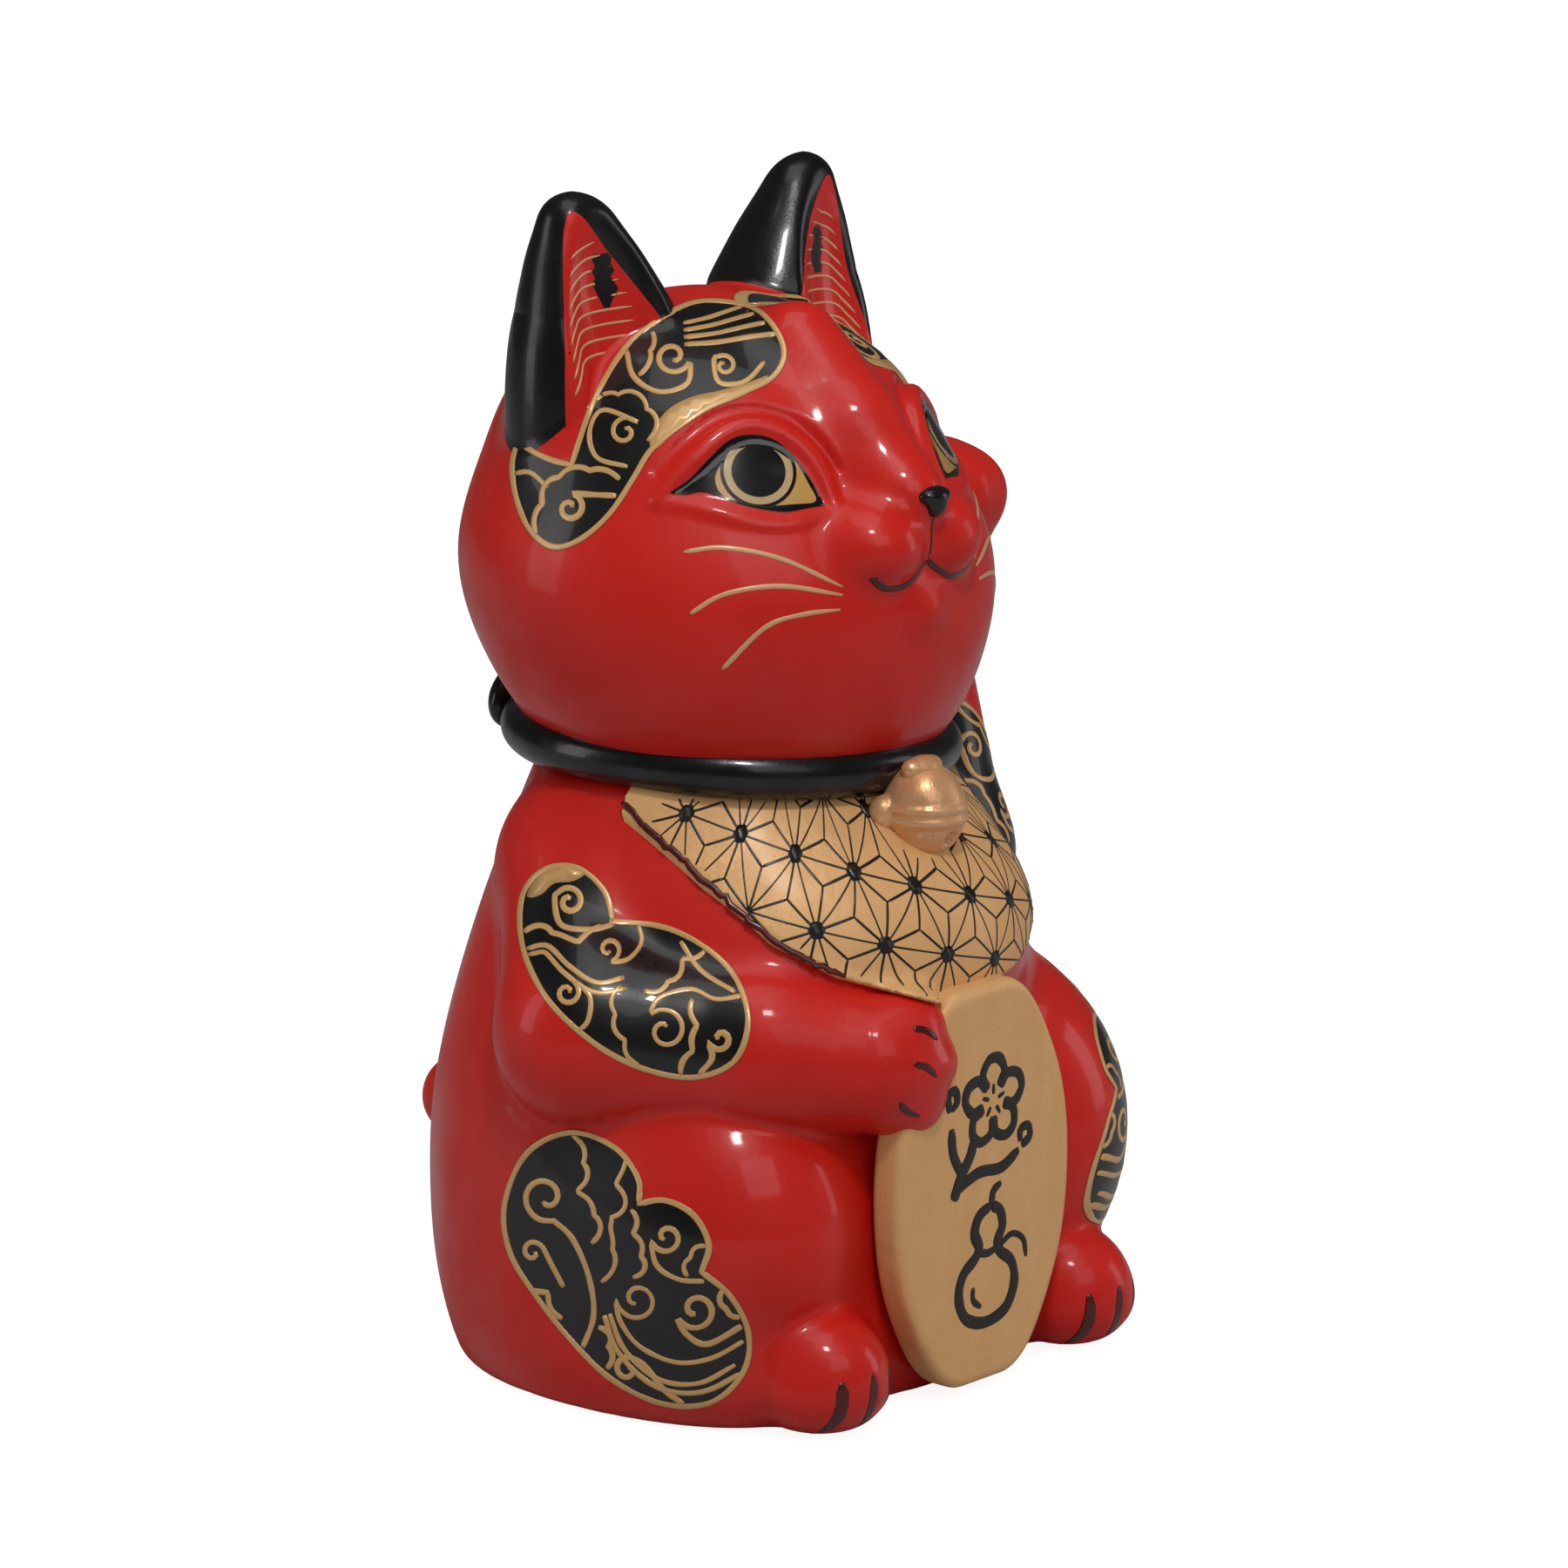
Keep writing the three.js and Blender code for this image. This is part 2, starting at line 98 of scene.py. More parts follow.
def ball(at: Triple, radii: Triple, turn: Triple = (0, 0, 0)) -> Form:
    """An ellipsoid.

    Args:
        at: its centre.
        radii: its three half-axes.
        turn: its angles in degrees.

    Returns:
        Its field: negative inside, close to the distance outside.
    """
    centre, sizes, back = np.array(at, float), np.array(radii, float), rotation(turn)

    def value(p: Points) -> np.ndarray:
        """The field at p."""
        q = (p - centre) @ back
        near = np.linalg.norm(q / sizes, axis=-1)
        slope = np.linalg.norm(q / sizes ** 2, axis=-1)
        return near * (near - 1) / np.maximum(slope, 1e-6)

    return value


def limb(start: Triple, end: Triple, start_radius: float, end_radius: float) -> Form:
    """A round limb that tapers from one point to another.

    Args:
        start: the first end's centre.
        end: the second end's centre.
        start_radius: the radius at start.
        end_radius: the radius at end.

    Returns:
        Its field.
    """
    a, along = np.array(start, float), np.array(end, float) - np.array(start, float)

    def value(p: Points) -> np.ndarray:
        """The field at p."""
        share = np.clip((p - a) @ along / (along @ along), 0, 1)
        middle = a + share[..., None] * along
        return np.linalg.norm(p - middle, axis=-1) - (start_radius + share * (end_radius - start_radius))

    return value


def strand(points: Points, radii: Sequence[float]) -> Form:
    """A round strand along points, with a radius at each point."""
    stretches = [limb(points[i], points[i + 1], radii[i], radii[i + 1]) for i in range(len(points) - 1)]
    return lambda p: np.minimum.reduce([stretch(p) for stretch in stretches])


def grown(form: Form, amount: float) -> Form:
    """A form moved outwards all over by amount, or inwards if it is negative."""
    return lambda p: form(p) - amount


def near(form: Form, centre: Triple, reach: float) -> Form:
    """A small form that is only worked out near its centre, and is far off elsewhere.

    Args:
        form: the form.
        centre: its middle.
        reach: how far from it the form is worked out.

    Returns:
        The limited form.
    """
    middle = np.array(centre, float)

    def value(p: Points) -> np.ndarray:
        """The field at p."""
        flat = p.reshape(-1, 3)
        distance = np.linalg.norm(flat - middle, axis=1)
        result = np.maximum(distance - reach * 0.5, reach * 0.4) + 1.0
        close = distance < reach
        if close.any():
            result[close] = form(flat[close])
        return result.reshape(p.shape[:-1])

    return value


def blended(first: np.ndarray, second: np.ndarray, softness: float | np.ndarray) -> np.ndarray:
    """The smooth union of two fields' values, rounded over a seam of the given softness."""
    share = np.clip(0.5 + 0.5 * (second - first) / softness, 0, 1)
    return second + (first - second) * share - softness * share * (1 - share)


def joined(*forms: Form, softness: float = 1.0) -> Form:
    """Several forms joined with the same softness."""

    def value(p: Points) -> np.ndarray:
        """The field at p."""
        result = forms[0](p)
        for form in forms[1:]:
            result = blended(result, form(p), softness)
        return result

    return value


def carved(form: Form, tool: Form, softness: float) -> Form:
    """A form with a tool's shape taken out of it, rounded at the edge."""
    return lambda p: -blended(-form(p), tool(p), softness)


def smooth_table(knots: Sequence[Pair]) -> Callable[[np.ndarray], np.ndarray]:
    """A smooth function through knots, as a natural cubic spline.

    Args:
        knots: (where, value) pairs, in rising order of where.

    Returns:
        A function of an array of places, which keeps the end values beyond both ends.
    """
    x, y = np.array(knots, float).T
    gaps, count = np.diff(x), len(x)
    system, right = np.eye(count), np.zeros(count)
    for i in range(1, count - 1):
        system[i, i - 1:i + 2] = gaps[i - 1], 2 * (gaps[i - 1] + gaps[i]), gaps[i]
        right[i] = 6 * ((y[i + 1] - y[i]) / gaps[i] - (y[i] - y[i - 1]) / gaps[i - 1])
    bend = np.linalg.solve(system, right)
    places = np.linspace(x[0], x[-1], 600)
    i = np.clip(np.searchsorted(x, places) - 1, 0, count - 2)
    h, a, b = gaps[i], x[i + 1] - places, places - x[i]
    values = (bend[i] * a ** 3 + bend[i + 1] * b ** 3) / (6 * h)
    values += (y[i] / h - bend[i] * h / 6) * a + (y[i + 1] / h - bend[i + 1] * h / 6) * b
    return lambda at: np.interp(at, places, values)


def slope_of(form: Form, p: Points) -> Points:
    """The field's gradient at points p, by central differences."""
    step = 0.02
    offsets = np.eye(3) * step
    return np.stack([(form(p + o) - form(p - o)) / (2 * step) for o in offsets], axis=-1)


def settled(form: Form, p: Points, level: float = 0.0, rounds: int = 4) -> Points:
    """Points moved along the gradient until the field is at a level there.

    Args:
        form: the field.
        p: the points.
        level: the field's wanted value.
        rounds: the number of steps.

    Returns:
        The moved points.
    """
    for _ in range(rounds):
        slope = slope_of(form, p)
        size = np.maximum((slope ** 2).sum(-1), 0.05)
        step = np.clip((form(p) - level) / size, -1.5, 1.5)
        p = p - slope * step[..., None]
    return p


# ------------------------ sculpting
BLOCK = 12


def sampled(form: Form, low: np.ndarray, step: float, blocks: np.ndarray) -> np.ndarray:
    """The field on a grid, worked out only in the blocks that the surface may pass through.

    Args:
        form: the field.
        low: the grid's first corner.
        step: its spacing.
        blocks: its number of blocks each way.

    Returns:
        The values, as a three-dimensional array.
    """
    size = blocks * BLOCK
    grid = np.full(size, FAR, dtype=np.float32)
    corners = np.stack(np.meshgrid(*[np.arange(n) for n in blocks], indexing="ij"), -1).reshape(-1, 3)
    centres = low + (corners * BLOCK + (BLOCK - 1) / 2) * step
    middle = form(centres)
    reach = BLOCK * step * math.sqrt(3) / 2
    local = np.stack(np.meshgrid(*[np.arange(BLOCK)] * 3, indexing="ij"), -1).reshape(-1, 3)
    view = grid.reshape(blocks[0], BLOCK, blocks[1], BLOCK, blocks[2], BLOCK)
    for corner, value in zip(corners, middle):
        if abs(value) > reach * 1.6 + 1.5:
            view[corner[0], :, corner[1], :, corner[2], :] = value
    busy = corners[np.abs(middle) <= reach * 1.6 + 1.5]
    for start in range(0, len(busy), 48):
        some = busy[start:start + 48]
        points = low + ((some * BLOCK)[:, None, :] + local[None]) * step
        values = form(points.reshape(-1, 3)).reshape(len(some), BLOCK, BLOCK, BLOCK)
        for corner, block in zip(some, values):
            view[corner[0], :, corner[1], :, corner[2], :] = block
    for axis in range(3):
        for end in (0, -1):
            border = [slice(None)] * 3
            border[axis] = end
            grid[tuple(border)] = np.maximum(grid[tuple(border)], step)
    return grid


def netted(grid: np.ndarray) -> tuple[np.ndarray, np.ndarray]:
    """The surface of a sampled field as quads, one vertex to each cell that it crosses.

    Args:
        grid: the sampled values.

    Returns:
        The vertices in cells, and the faces.
    """
    inside = grid < 0
    count = np.zeros(np.array(grid.shape) - 1, dtype=np.int8)
    steps = [(i, j, k) for i in (0, 1) for j in (0, 1) for k in (0, 1)]
    nx, ny, nz = count.shape
    for i, j, k in steps:
        count += inside[i:i + nx, j:j + ny, k:k + nz]
    crossed = (count > 0) & (count < 8)
    cells = np.argwhere(crossed)
    number = np.full(count.shape, -1, dtype=np.int64)
    number[crossed] = np.arange(len(cells))
    total, hits = np.zeros((len(cells), 3)), np.zeros(len(cells))
    for axis in range(3):
        for offset in steps:
            if offset[axis]:
                continue
            start = cells + np.array(offset)
            end = start.copy()
            end[:, axis] += 1
            a, b = grid[tuple(start.T)], grid[tuple(end.T)]
            crossing = (a < 0) != (b < 0)
            share = np.where(crossing, a / np.where(crossing, a - b, 1), 0)
            point = np.array(offset, float) + share[:, None] * np.eye(3)[axis]
            total += point * crossing[:, None]
            hits += crossing
    vertices = cells + total / hits[:, None]
    faces = []
    for axis in range(3):
        b_axis, c_axis = (axis + 1) % 3, (axis + 2) % 3
        ahead = [slice(None)] * 3
        ahead[axis] = slice(1, None)
        behind = [slice(None)] * 3
        behind[axis] = slice(None, -1)
        first, second = inside[tuple(behind)], inside[tuple(ahead)]
        for low_inside in (True, False):
            edges = np.argwhere((first == low_inside) & (second != low_inside))
            edges = edges[(edges[:, b_axis] > 0) & (edges[:, c_axis] > 0)]
            ring = []
            for back_b, back_c in ((0, 0), (1, 0), (1, 1), (0, 1)):
                cell = edges.copy()
                cell[:, b_axis] -= back_b
                cell[:, c_axis] -= back_c
                ring.append(number[tuple(cell.T)])
            quad = np.stack(ring, 1)
            faces.append(quad if low_inside else quad[:, ::-1])
    return vertices, np.concatenate(faces)


def relaxed(vertices: Points, faces: np.ndarray) -> Points:
    """Vertices moved half way to the middle of their neighbours.

    Args:
        vertices: the mesh's vertices.
        faces: its four-sided faces.

    Returns:
        The moved vertices.
    """
    total, hits = np.zeros_like(vertices), np.zeros(len(vertices))
    for i in range(4):
        a, b = faces[:, i], faces[:, (i + 1) % 4]
        np.add.at(total, a, vertices[b])
        np.add.at(hits, a, 1)
        np.add.at(total, b, vertices[a])
        np.add.at(hits, b, 1)
    return 0.5 * vertices + 0.5 * total / hits[:, None]


@dataclass
class Shape:
    """A finished mesh in the cat's axes, in millimetres, before it becomes a Blender object."""

    vertices: Points
    faces: list
    normals: Points | None = None

    @staticmethod
    def sculpted(form: Form, low: Triple, high: Triple, step: float) -> "Shape":
        """Turns a field into a closed mesh.

        Args:
            form: the field.
            low: the lowest corner of its box.
            high: the highest corner.
            step: the size of a facet.

        Returns:
            The mesh.
        """
        base = np.array(low, float) - 2 * step
        blocks = np.ceil((np.array(high) + 2 * step - base) / (step * BLOCK)).astype(int)
        vertices, faces = netted(sampled(form, base, step, blocks))
        vertices = base + vertices * step
        for _ in range(2):
            vertices = settled(form, relaxed(vertices, faces), rounds=2)
        vertices = settled(form, vertices, rounds=2)
        normals = None
        normals = slope_of(form, vertices)
        normals /= np.maximum(np.linalg.norm(normals, axis=1, keepdims=True), 1e-6)
        return Shape(vertices, faces.tolist(), normals)

    @staticmethod
    def merged(shapes: Iterable["Shape"]) -> "Shape":
        """Several meshes as one, without custom normals."""
        vertices, faces, start = [], [], 0
        for shape in shapes:
            vertices.append(shape.vertices)
            faces.extend([[i + start for i in face] for face in shape.faces])
            start += len(shape.vertices)
        return Shape(np.concatenate(vertices), faces)


# ------------------------ painted decoration
def landed(form: Form, start: Points, heading: Points, reach: float, lift: float | np.ndarray) -> Points:
    """Points sent along their headings until they meet a surface, then set at a height above it.

    Args:
        form: the surface's field.
        start: where they start.
        heading: their unit directions.
        reach: how far they may go.
        lift: their height above the surface.

    Returns:
        The points; one that misses the surface is drawn to where it passed nearest.
    """
    travel, best = np.zeros(len(start)), np.full(len(start), FAR)
    nearest, active = start.copy(), np.arange(len(start))
    for _ in range(60):
        here = start[active] + heading[active] * travel[active][:, None]
        value = form(here)
        closer = value < best[active]
        index = active[closer]
        best[index], nearest[index] = value[closer], here[closer]
        moving = (value > 0.03) & (travel[active] < reach)
        active = active[moving]
        if not len(active):
            break
        travel[active] += np.clip(value[moving] * 0.85, 0.05, 12)
    met = nearest.copy()
    for _ in range(2):
        slope = slope_of(form, nearest)
        slope /= np.maximum((slope ** 2).sum(-1, keepdims=True), 0.05)
        for _ in range(2):
            step = np.clip(form(nearest) - lift, -1.5, 1.5)
            nearest = nearest - slope * step[:, None]
    astray = np.linalg.norm(nearest - met, axis=-1) > 1.6
    nearest[astray] = met[astray]
    return nearest


@dataclass
class Chart:
    """A flat drawing laid on a sculpted surface from one side.

    Attributes:
        form: the surface's field.
        centre: the drawing's origin, in the cat's axes.
        azimuth: the side that it is laid on from, in degrees from the front towards the cat's left.
        elevation: how far from above, in degrees.
        mirror: True draws it reversed left to right.
        reach: how far in front of the centre the drawing starts from, in millimetres.
    """

    form: Form
    centre: Triple
    azimuth: float = 0.0
    elevation: float = 0.0
    mirror: bool = False
    reach: float = 70.0

    def axes(self) -> tuple[np.ndarray, np.ndarray, np.ndarray]:
        """The drawing's right, up and outward directions."""
        turn, rise = math.radians(self.azimuth), math.radians(self.elevation)
        out = np.array([math.sin(turn) * math.cos(rise), -math.cos(turn) * math.cos(rise), math.sin(rise)])
        right = np.array([math.cos(turn), math.sin(turn), 0.0])
        up = np.cross(out, right)
        return (-right if self.mirror else right), up, out

    def laid(self, drawing: Points, lift: float | np.ndarray) -> Points:
        """Lays flat points on the surface.

        Args:
            drawing: points as (right, up) rows.
            lift: their height above the surface, one for all or one each.

        Returns:
            The points in the cat's axes.
        """
        right, up, out = self.axes()
        flat = np.asarray(drawing, float)
        start = np.array(self.centre) + flat[:, :1] * right + flat[:, 1:] * up + out * self.reach
        return landed(self.form, start, np.broadcast_to(-out, start.shape), 2 * self.reach, lift)


def smoothed(points: Iterable[Pair], closed: bool = False, spacing: float = 0.8) -> Points:
    """A smooth curve through points, as evenly spaced points.

    Args:
        points: the points to pass through.
        closed: True for a loop.
        spacing: the distance between the points of the result.

    Returns:
        Rows of points; a loop's first point is not repeated.
    """
    base = np.array(list(points), float)
    count = len(base)
    if closed:
        frame_points = np.concatenate([base[-1:], base, base[:2]])
        spans = count
    else:
        first, last = 2 * base[0] - base[1], 2 * base[-1] - base[-2]
        frame_points = np.concatenate([[first], base, [last]])
        spans = count - 1
    share = np.linspace(0, 1, 12, endpoint=False)[:, None]
    pieces = []
    for i in range(spans):
        a, b, c, d = frame_points[i:i + 4]
        pieces.append(0.5 * (2 * b + (c - a) * share + (2 * a - 5 * b + 4 * c - d) * share ** 2
                             + (3 * b - a - 3 * c + d) * share ** 3))
    curve = np.concatenate(pieces + [base[:1] if closed else base[-1:]])
    length = np.concatenate([[0], np.cumsum(np.linalg.norm(np.diff(curve, axis=0), axis=1))])
    steps = max(int(round(length[-1] / spacing)), 3)
    places = np.linspace(0, length[-1], steps + 1)
    result = np.stack([np.interp(places, length, curve[:, k]) for k in range(curve.shape[1])], 1)
    return result[:-1] if closed else result


def within(points: Points, outline: Points) -> np.ndarray:
    """Which points lie inside a closed outline."""
    inside = np.zeros(len(points), bool)
    x, y = points[:, 0], points[:, 1]
    for (x0, y0), (x1, y1) in zip(outline, np.roll(outline, -1, axis=0)):
        crosses = (y0 > y) != (y1 > y)
        if not crosses.any():
            continue
        where = x0 + (y - y0) * (x1 - x0) / (y1 - y0 if y1 != y0 else 1e-9)
        inside ^= crosses & (x < where)
    return inside


def edge_distance(points: Points, outline: Points) -> np.ndarray:
    """The distance from each point to a closed outline."""
    best = np.full(len(points), FAR)
    for a, b in zip(outline, np.roll(outline, -1, axis=0)):
        along = b - a
        share = np.clip((points - a) @ along / max(along @ along, 1e-9), 0, 1)
        best = np.minimum(best, np.linalg.norm(points - a - share[:, None] * along, axis=1))
    return best


def paint_sheet(chart: "Chart | Wrap", outline: Points, lift: float = 0.06, spacing: float = 1.0,
                depth: float = 0.16) -> Shape:
    """A thin closed film of paint inside an outline.

    Args:
        chart: the drawing's place.
        outline: the film's edge, closed, without a repeated point.
        lift: the height of its face above the surface.
        spacing: the size of its facets.
        depth: its thickness, most of which is under the surface.

    Returns:
        The film.
    """
    low, high = outline.min(0), outline.max(0)
    columns = np.arange(low[0], high[0], spacing)
    rows = np.arange(low[1], high[1], spacing * 0.866)
    grid = np.array([(x + (k % 2) * spacing / 2, y) for k, y in enumerate(rows) for x in columns])
    if len(grid):
        grid = grid[within(grid, outline)]
        grid = grid[edge_distance(grid, outline) > spacing * 0.55]
    flat = np.concatenate([outline, grid.reshape(-1, 2)])
    count = len(outline)
    edges = [(i, (i + 1) % count) for i in range(count)]
    points, _, faces, _, _, _ = delaunay_2d_cdt([Vector(p) for p in flat], edges, [], 1, 1e-6)
    flat = np.array([tuple(p) for p in points])
    total = len(flat)
    both = chart.laid(np.concatenate([flat, flat]), np.repeat([lift, lift - depth], total))
    upper = [list(face) for face in faces]
    a, b, c = (flat[upper[0][k]] for k in range(3))
    turned = np.cross(b - a, c - a) * (-1 if chart.mirror else 1) < 0
    upper = [face[::-1] for face in upper] if turned else upper
    open_edges = {}
    for face in upper:
        for i, v in enumerate(face):
            w = face[(i + 1) % len(face)]
            open_edges[(v, w)] = True
    rim = [[w, v, v + total, w + total] for v, w in open_edges if (w, v) not in open_edges]
    lower = [[v + total for v in face[::-1]] for face in upper]
    return Shape(both, upper + lower + rim)


@dataclass
class Stroke:
    """A brushed line of paint, raised and rounded, with its ends thinned.

    Attributes:
        path: the line's middle, as flat points.
        width: its full width.
        relief: its height above lift.
        lift: the height of the film under it.
        ends: the length over which each end is thinned.
        tip: the share of the width left at the ends.
    """

    path: Points
    width: float
    relief: float = 0.05
    lift: float = 0.0
    ends: Pair = (0.5, 0.5)
    tip: float = 0.35


SECTION: tuple[Pair, ...] = ((-1.0, -0.06), (-0.7, 0.7), (0.0, 1.0), (0.7, 0.7), (1.0, -0.06), (0.0, -0.9))


def paint_lines(chart: "Chart | Wrap", strokes: Iterable[Stroke], rng: np.random.Generator | None = None) -> Shape:
    """Brushed lines as closed ribbons, laid together.

    Args:
        chart: the drawing's place.
        strokes: the lines.
        rng: a generator that makes the widths waver, as a brush does.

    Returns:
        The lines as one mesh.
    """
    flat, lifts, faces, total, around = [], [], [], 0, len(SECTION)
    for stroke in strokes:
        path = np.asarray(stroke.path, float)
        along = np.gradient(path, axis=0)
        along /= np.maximum(np.linalg.norm(along, axis=1, keepdims=True), 1e-9)
        side = np.stack([-along[:, 1], along[:, 0]], 1)
        length = np.concatenate([[0], np.cumsum(np.linalg.norm(np.diff(path, axis=0), axis=1))])
        left, right = length / max(stroke.ends[0], 1e-6), (length[-1] - length) / max(stroke.ends[1], 1e-6)
        taper = np.sin(np.clip(np.minimum(left, right), 0, 1) * math.pi / 2)
        half = stroke.width / 2 * (stroke.tip + (1 - stroke.tip) * taper)
        if rng is not None:
            knots = np.arange(0, len(path) + 4, 3)
            half = half * (1 + np.interp(np.arange(len(path)), knots, rng.normal(0, 0.06, len(knots))))
        shares, heights = np.array(SECTION).T
        points = path[:, None] + side[:, None] * (half[:, None] * shares)[..., None]
        levels = stroke.lift + np.where(heights > 0, heights * stroke.relief, heights * 0.1)
        flat.append(points.reshape(-1, 2))
        lifts.append(np.tile(levels, len(path)))
        count = len(path)
        for i in range(count - 1):
            for k in range(around):
                a, b = total + i * around + k, total + i * around + (k + 1) % around
                faces.append([a, a + around, b + around, b])
        faces.append([total + k for k in range(around)])
        faces.append([total + (count - 1) * around + k for k in range(around)][::-1])
        total += count * around
    if chart.mirror:
        faces = [face[::-1] for face in faces]
    return Shape(chart.laid(np.concatenate(flat), np.concatenate(lifts)), faces)


# ------------------------ finishes
def new_group(name: str, inputs: Sequence[tuple], outputs: Sequence[tuple]) -> bpy.types.NodeTree:
    """An empty shader node group with named sockets.

    Args:
        name: the group's name.
        inputs: (name, kind, starting value) for each input.
        outputs: (name, kind) for each output.

    Returns:
        The group, holding its Group Input and Group Output nodes.
    """
    group = bpy.data.node_groups.new(name, "ShaderNodeTree")
    for label, kind, value in inputs:
        socket = group.interface.new_socket(label, in_out="INPUT", socket_type=f"NodeSocket{kind}")
        if value is not None:
            socket.default_value = value
    for label, kind in outputs:
        group.interface.new_socket(label, in_out="OUTPUT", socket_type=f"NodeSocket{kind}")
    group.nodes.new("NodeGroupInput").name = "in"
    group.nodes.new("NodeGroupOutput").name = "out"
    return group


@dataclass
class Wiring:
    """Adds nodes to a tree and links them in one call."""

    tree: bpy.types.NodeTree

    def add(self, kind: str, settings: dict | None = None, **inputs: object) -> bpy.types.Node:
        """Adds a node.

        Args:
            kind: its type, without the leading ShaderNode.
            settings: its properties.
            inputs: a socket to link from, or a value, by input name with _ for a space.

        Returns:
            The node.
        """
        node = self.tree.nodes.new(f"ShaderNode{kind}")
        for key, value in (settings or {}).items():
            setattr(node, key, value)
        for key, value in inputs.items():
            self.feed(node, int(key[1:]) if key[:1] == "i" and key[1:].isdigit() else key.replace("_", " "), value)
        return node

    def feed(self, node: bpy.types.Node, key: str | int, value: object) -> None:
        """Links a socket to a node's input, or sets the input's value."""
        if isinstance(value, bpy.types.NodeSocket):
            self.tree.links.new(value, node.inputs[key])
        else:
            node.inputs[key].default_value = value

    def math(self, operation: str, first: object, second: object = 0.0, clamp: bool = False) -> bpy.types.NodeSocket:
        """A Math node's result."""
        node = self.add("Math", {"operation": operation, "use_clamp": clamp}, i0=first, i1=second)
        return node.outputs[0]

    def ramp(self, value: object, low: float, high: float, start: float = 0.0,
             end: float = 1.0) -> bpy.types.NodeSocket:
        """A value mapped from low..high to start..end, and kept in it."""
        node = self.add("MapRange", {"clamp": True}, Value=value, From_Min=low, From_Max=high, To_Min=start,
                        To_Max=end)
        return node.outputs[0]

    def mix(self, share: object, first: object, second: object) -> bpy.types.NodeSocket:
        """Two colours mixed."""
        node = self.add("Mix", {"data_type": "RGBA"})
        self.feed(node, 0, share)
        self.feed(node, 6, first)
        self.feed(node, 7, second)
        return node.outputs[2]


def brush_film() -> bpy.types.NodeTree:
    """Thick hand-brushed paint: long faint strokes, soft waves and fine grain."""
    group = new_group(
        "brush_film",
        [("Stroke scale", "Float", 240.0), ("Wave scale", "Float", 90.0), ("Grain scale", "Float", 2500.0),
         ("Direction", "Vector", (0.0, 0.0, 0.0))],
        [("Height", "Float"), ("Strokes", "Float"), ("Waves", "Float"), ("Grain", "Float")],
    )
    w = Wiring(group)
    start, end = group.nodes["in"], group.nodes["out"]
    place = w.add("TexCoord").outputs["Object"]
    along = w.add("Mapping", Vector=place, Rotation=start.outputs["Direction"], Scale=(1.0, 1.0, 0.16)).outputs[0]
    strokes = w.add("TexNoise", Vector=along, Scale=start.outputs["Stroke scale"], Detail=3.0, Roughness=0.6)
    waves = w.add("TexNoise", Vector=place, Scale=start.outputs["Wave scale"], Detail=2.0, Roughness=0.5)
    grain = w.add("TexNoise", Vector=place, Scale=start.outputs["Grain scale"], Detail=1.0)
    height = w.math("MULTIPLY", strokes.outputs["Fac"], 0.45)
    height = w.math("ADD", height, w.math("MULTIPLY", waves.outputs["Fac"], 0.5))
    height = w.math("ADD", height, w.math("MULTIPLY", grain.outputs["Fac"], 0.05))
    for label, socket in (("Height", height), ("Strokes", strokes.outputs["Fac"]),
                          ("Waves", waves.outputs["Fac"]), ("Grain", grain.outputs["Fac"])):
        w.feed(end, label, socket)
    return group


def tone_drift() -> bpy.types.NodeTree:
    """A paint's slow change of tone from place to place, with the thin and thick parts of the coat."""
    group = new_group(
        "tone_drift",
        [("Thick", "Color", (1, 1, 1, 1)), ("Thin", "Color", (1, 1, 1, 1)), ("Scale", "Float", 30.0),
         ("Amount", "Float", 0.5), ("Strokes", "Float", 0.5)],
        [("Color", "Color"), ("Thinness", "Float")],
    )
    w = Wiring(group)
    start, end = group.nodes["in"], group.nodes["out"]
    place = w.add("TexCoord").outputs["Object"]
    cloud = w.add("TexNoise", Vector=place, Scale=start.outputs["Scale"], Detail=4.0, Roughness=0.62)
    both = w.math("ADD", w.math("MULTIPLY", cloud.outputs["Fac"], 0.65),
                  w.math("MULTIPLY", start.outputs["Strokes"], 0.35))
    share = w.math("MULTIPLY", w.ramp(both, 0.36, 0.66), start.outputs["Amount"], clamp=True)
    w.feed(end, "Color", w.mix(share, start.outputs["Thick"], start.outputs["Thin"]))
    w.feed(end, "Thinness", share)
    return group


def flecks() -> bpy.types.NodeTree:
    """Small scattered specks, such as pigment grains, pinholes and dust in a varnish."""
    group = new_group(
        "flecks",
        [("Scale", "Float", 900.0), ("Size", "Float", 0.12), ("Patchiness", "Float", 0.5)],
        [("Mask", "Float")],
    )
    w = Wiring(group)
    start, end = group.nodes["in"], group.nodes["out"]
    place = w.add("TexCoord").outputs["Object"]
    cells = w.add("TexVoronoi", Vector=place, Scale=start.outputs["Scale"])
    spot = w.math("LESS_THAN", cells.outputs["Distance"], start.outputs["Size"])
    patch = w.add("TexNoise", Vector=place, Scale=60.0, Detail=2.0)
    here = w.math("GREATER_THAN", patch.outputs["Fac"], start.outputs["Patchiness"])
    w.feed(end, "Mask", w.math("MULTIPLY", spot, here))
    return group


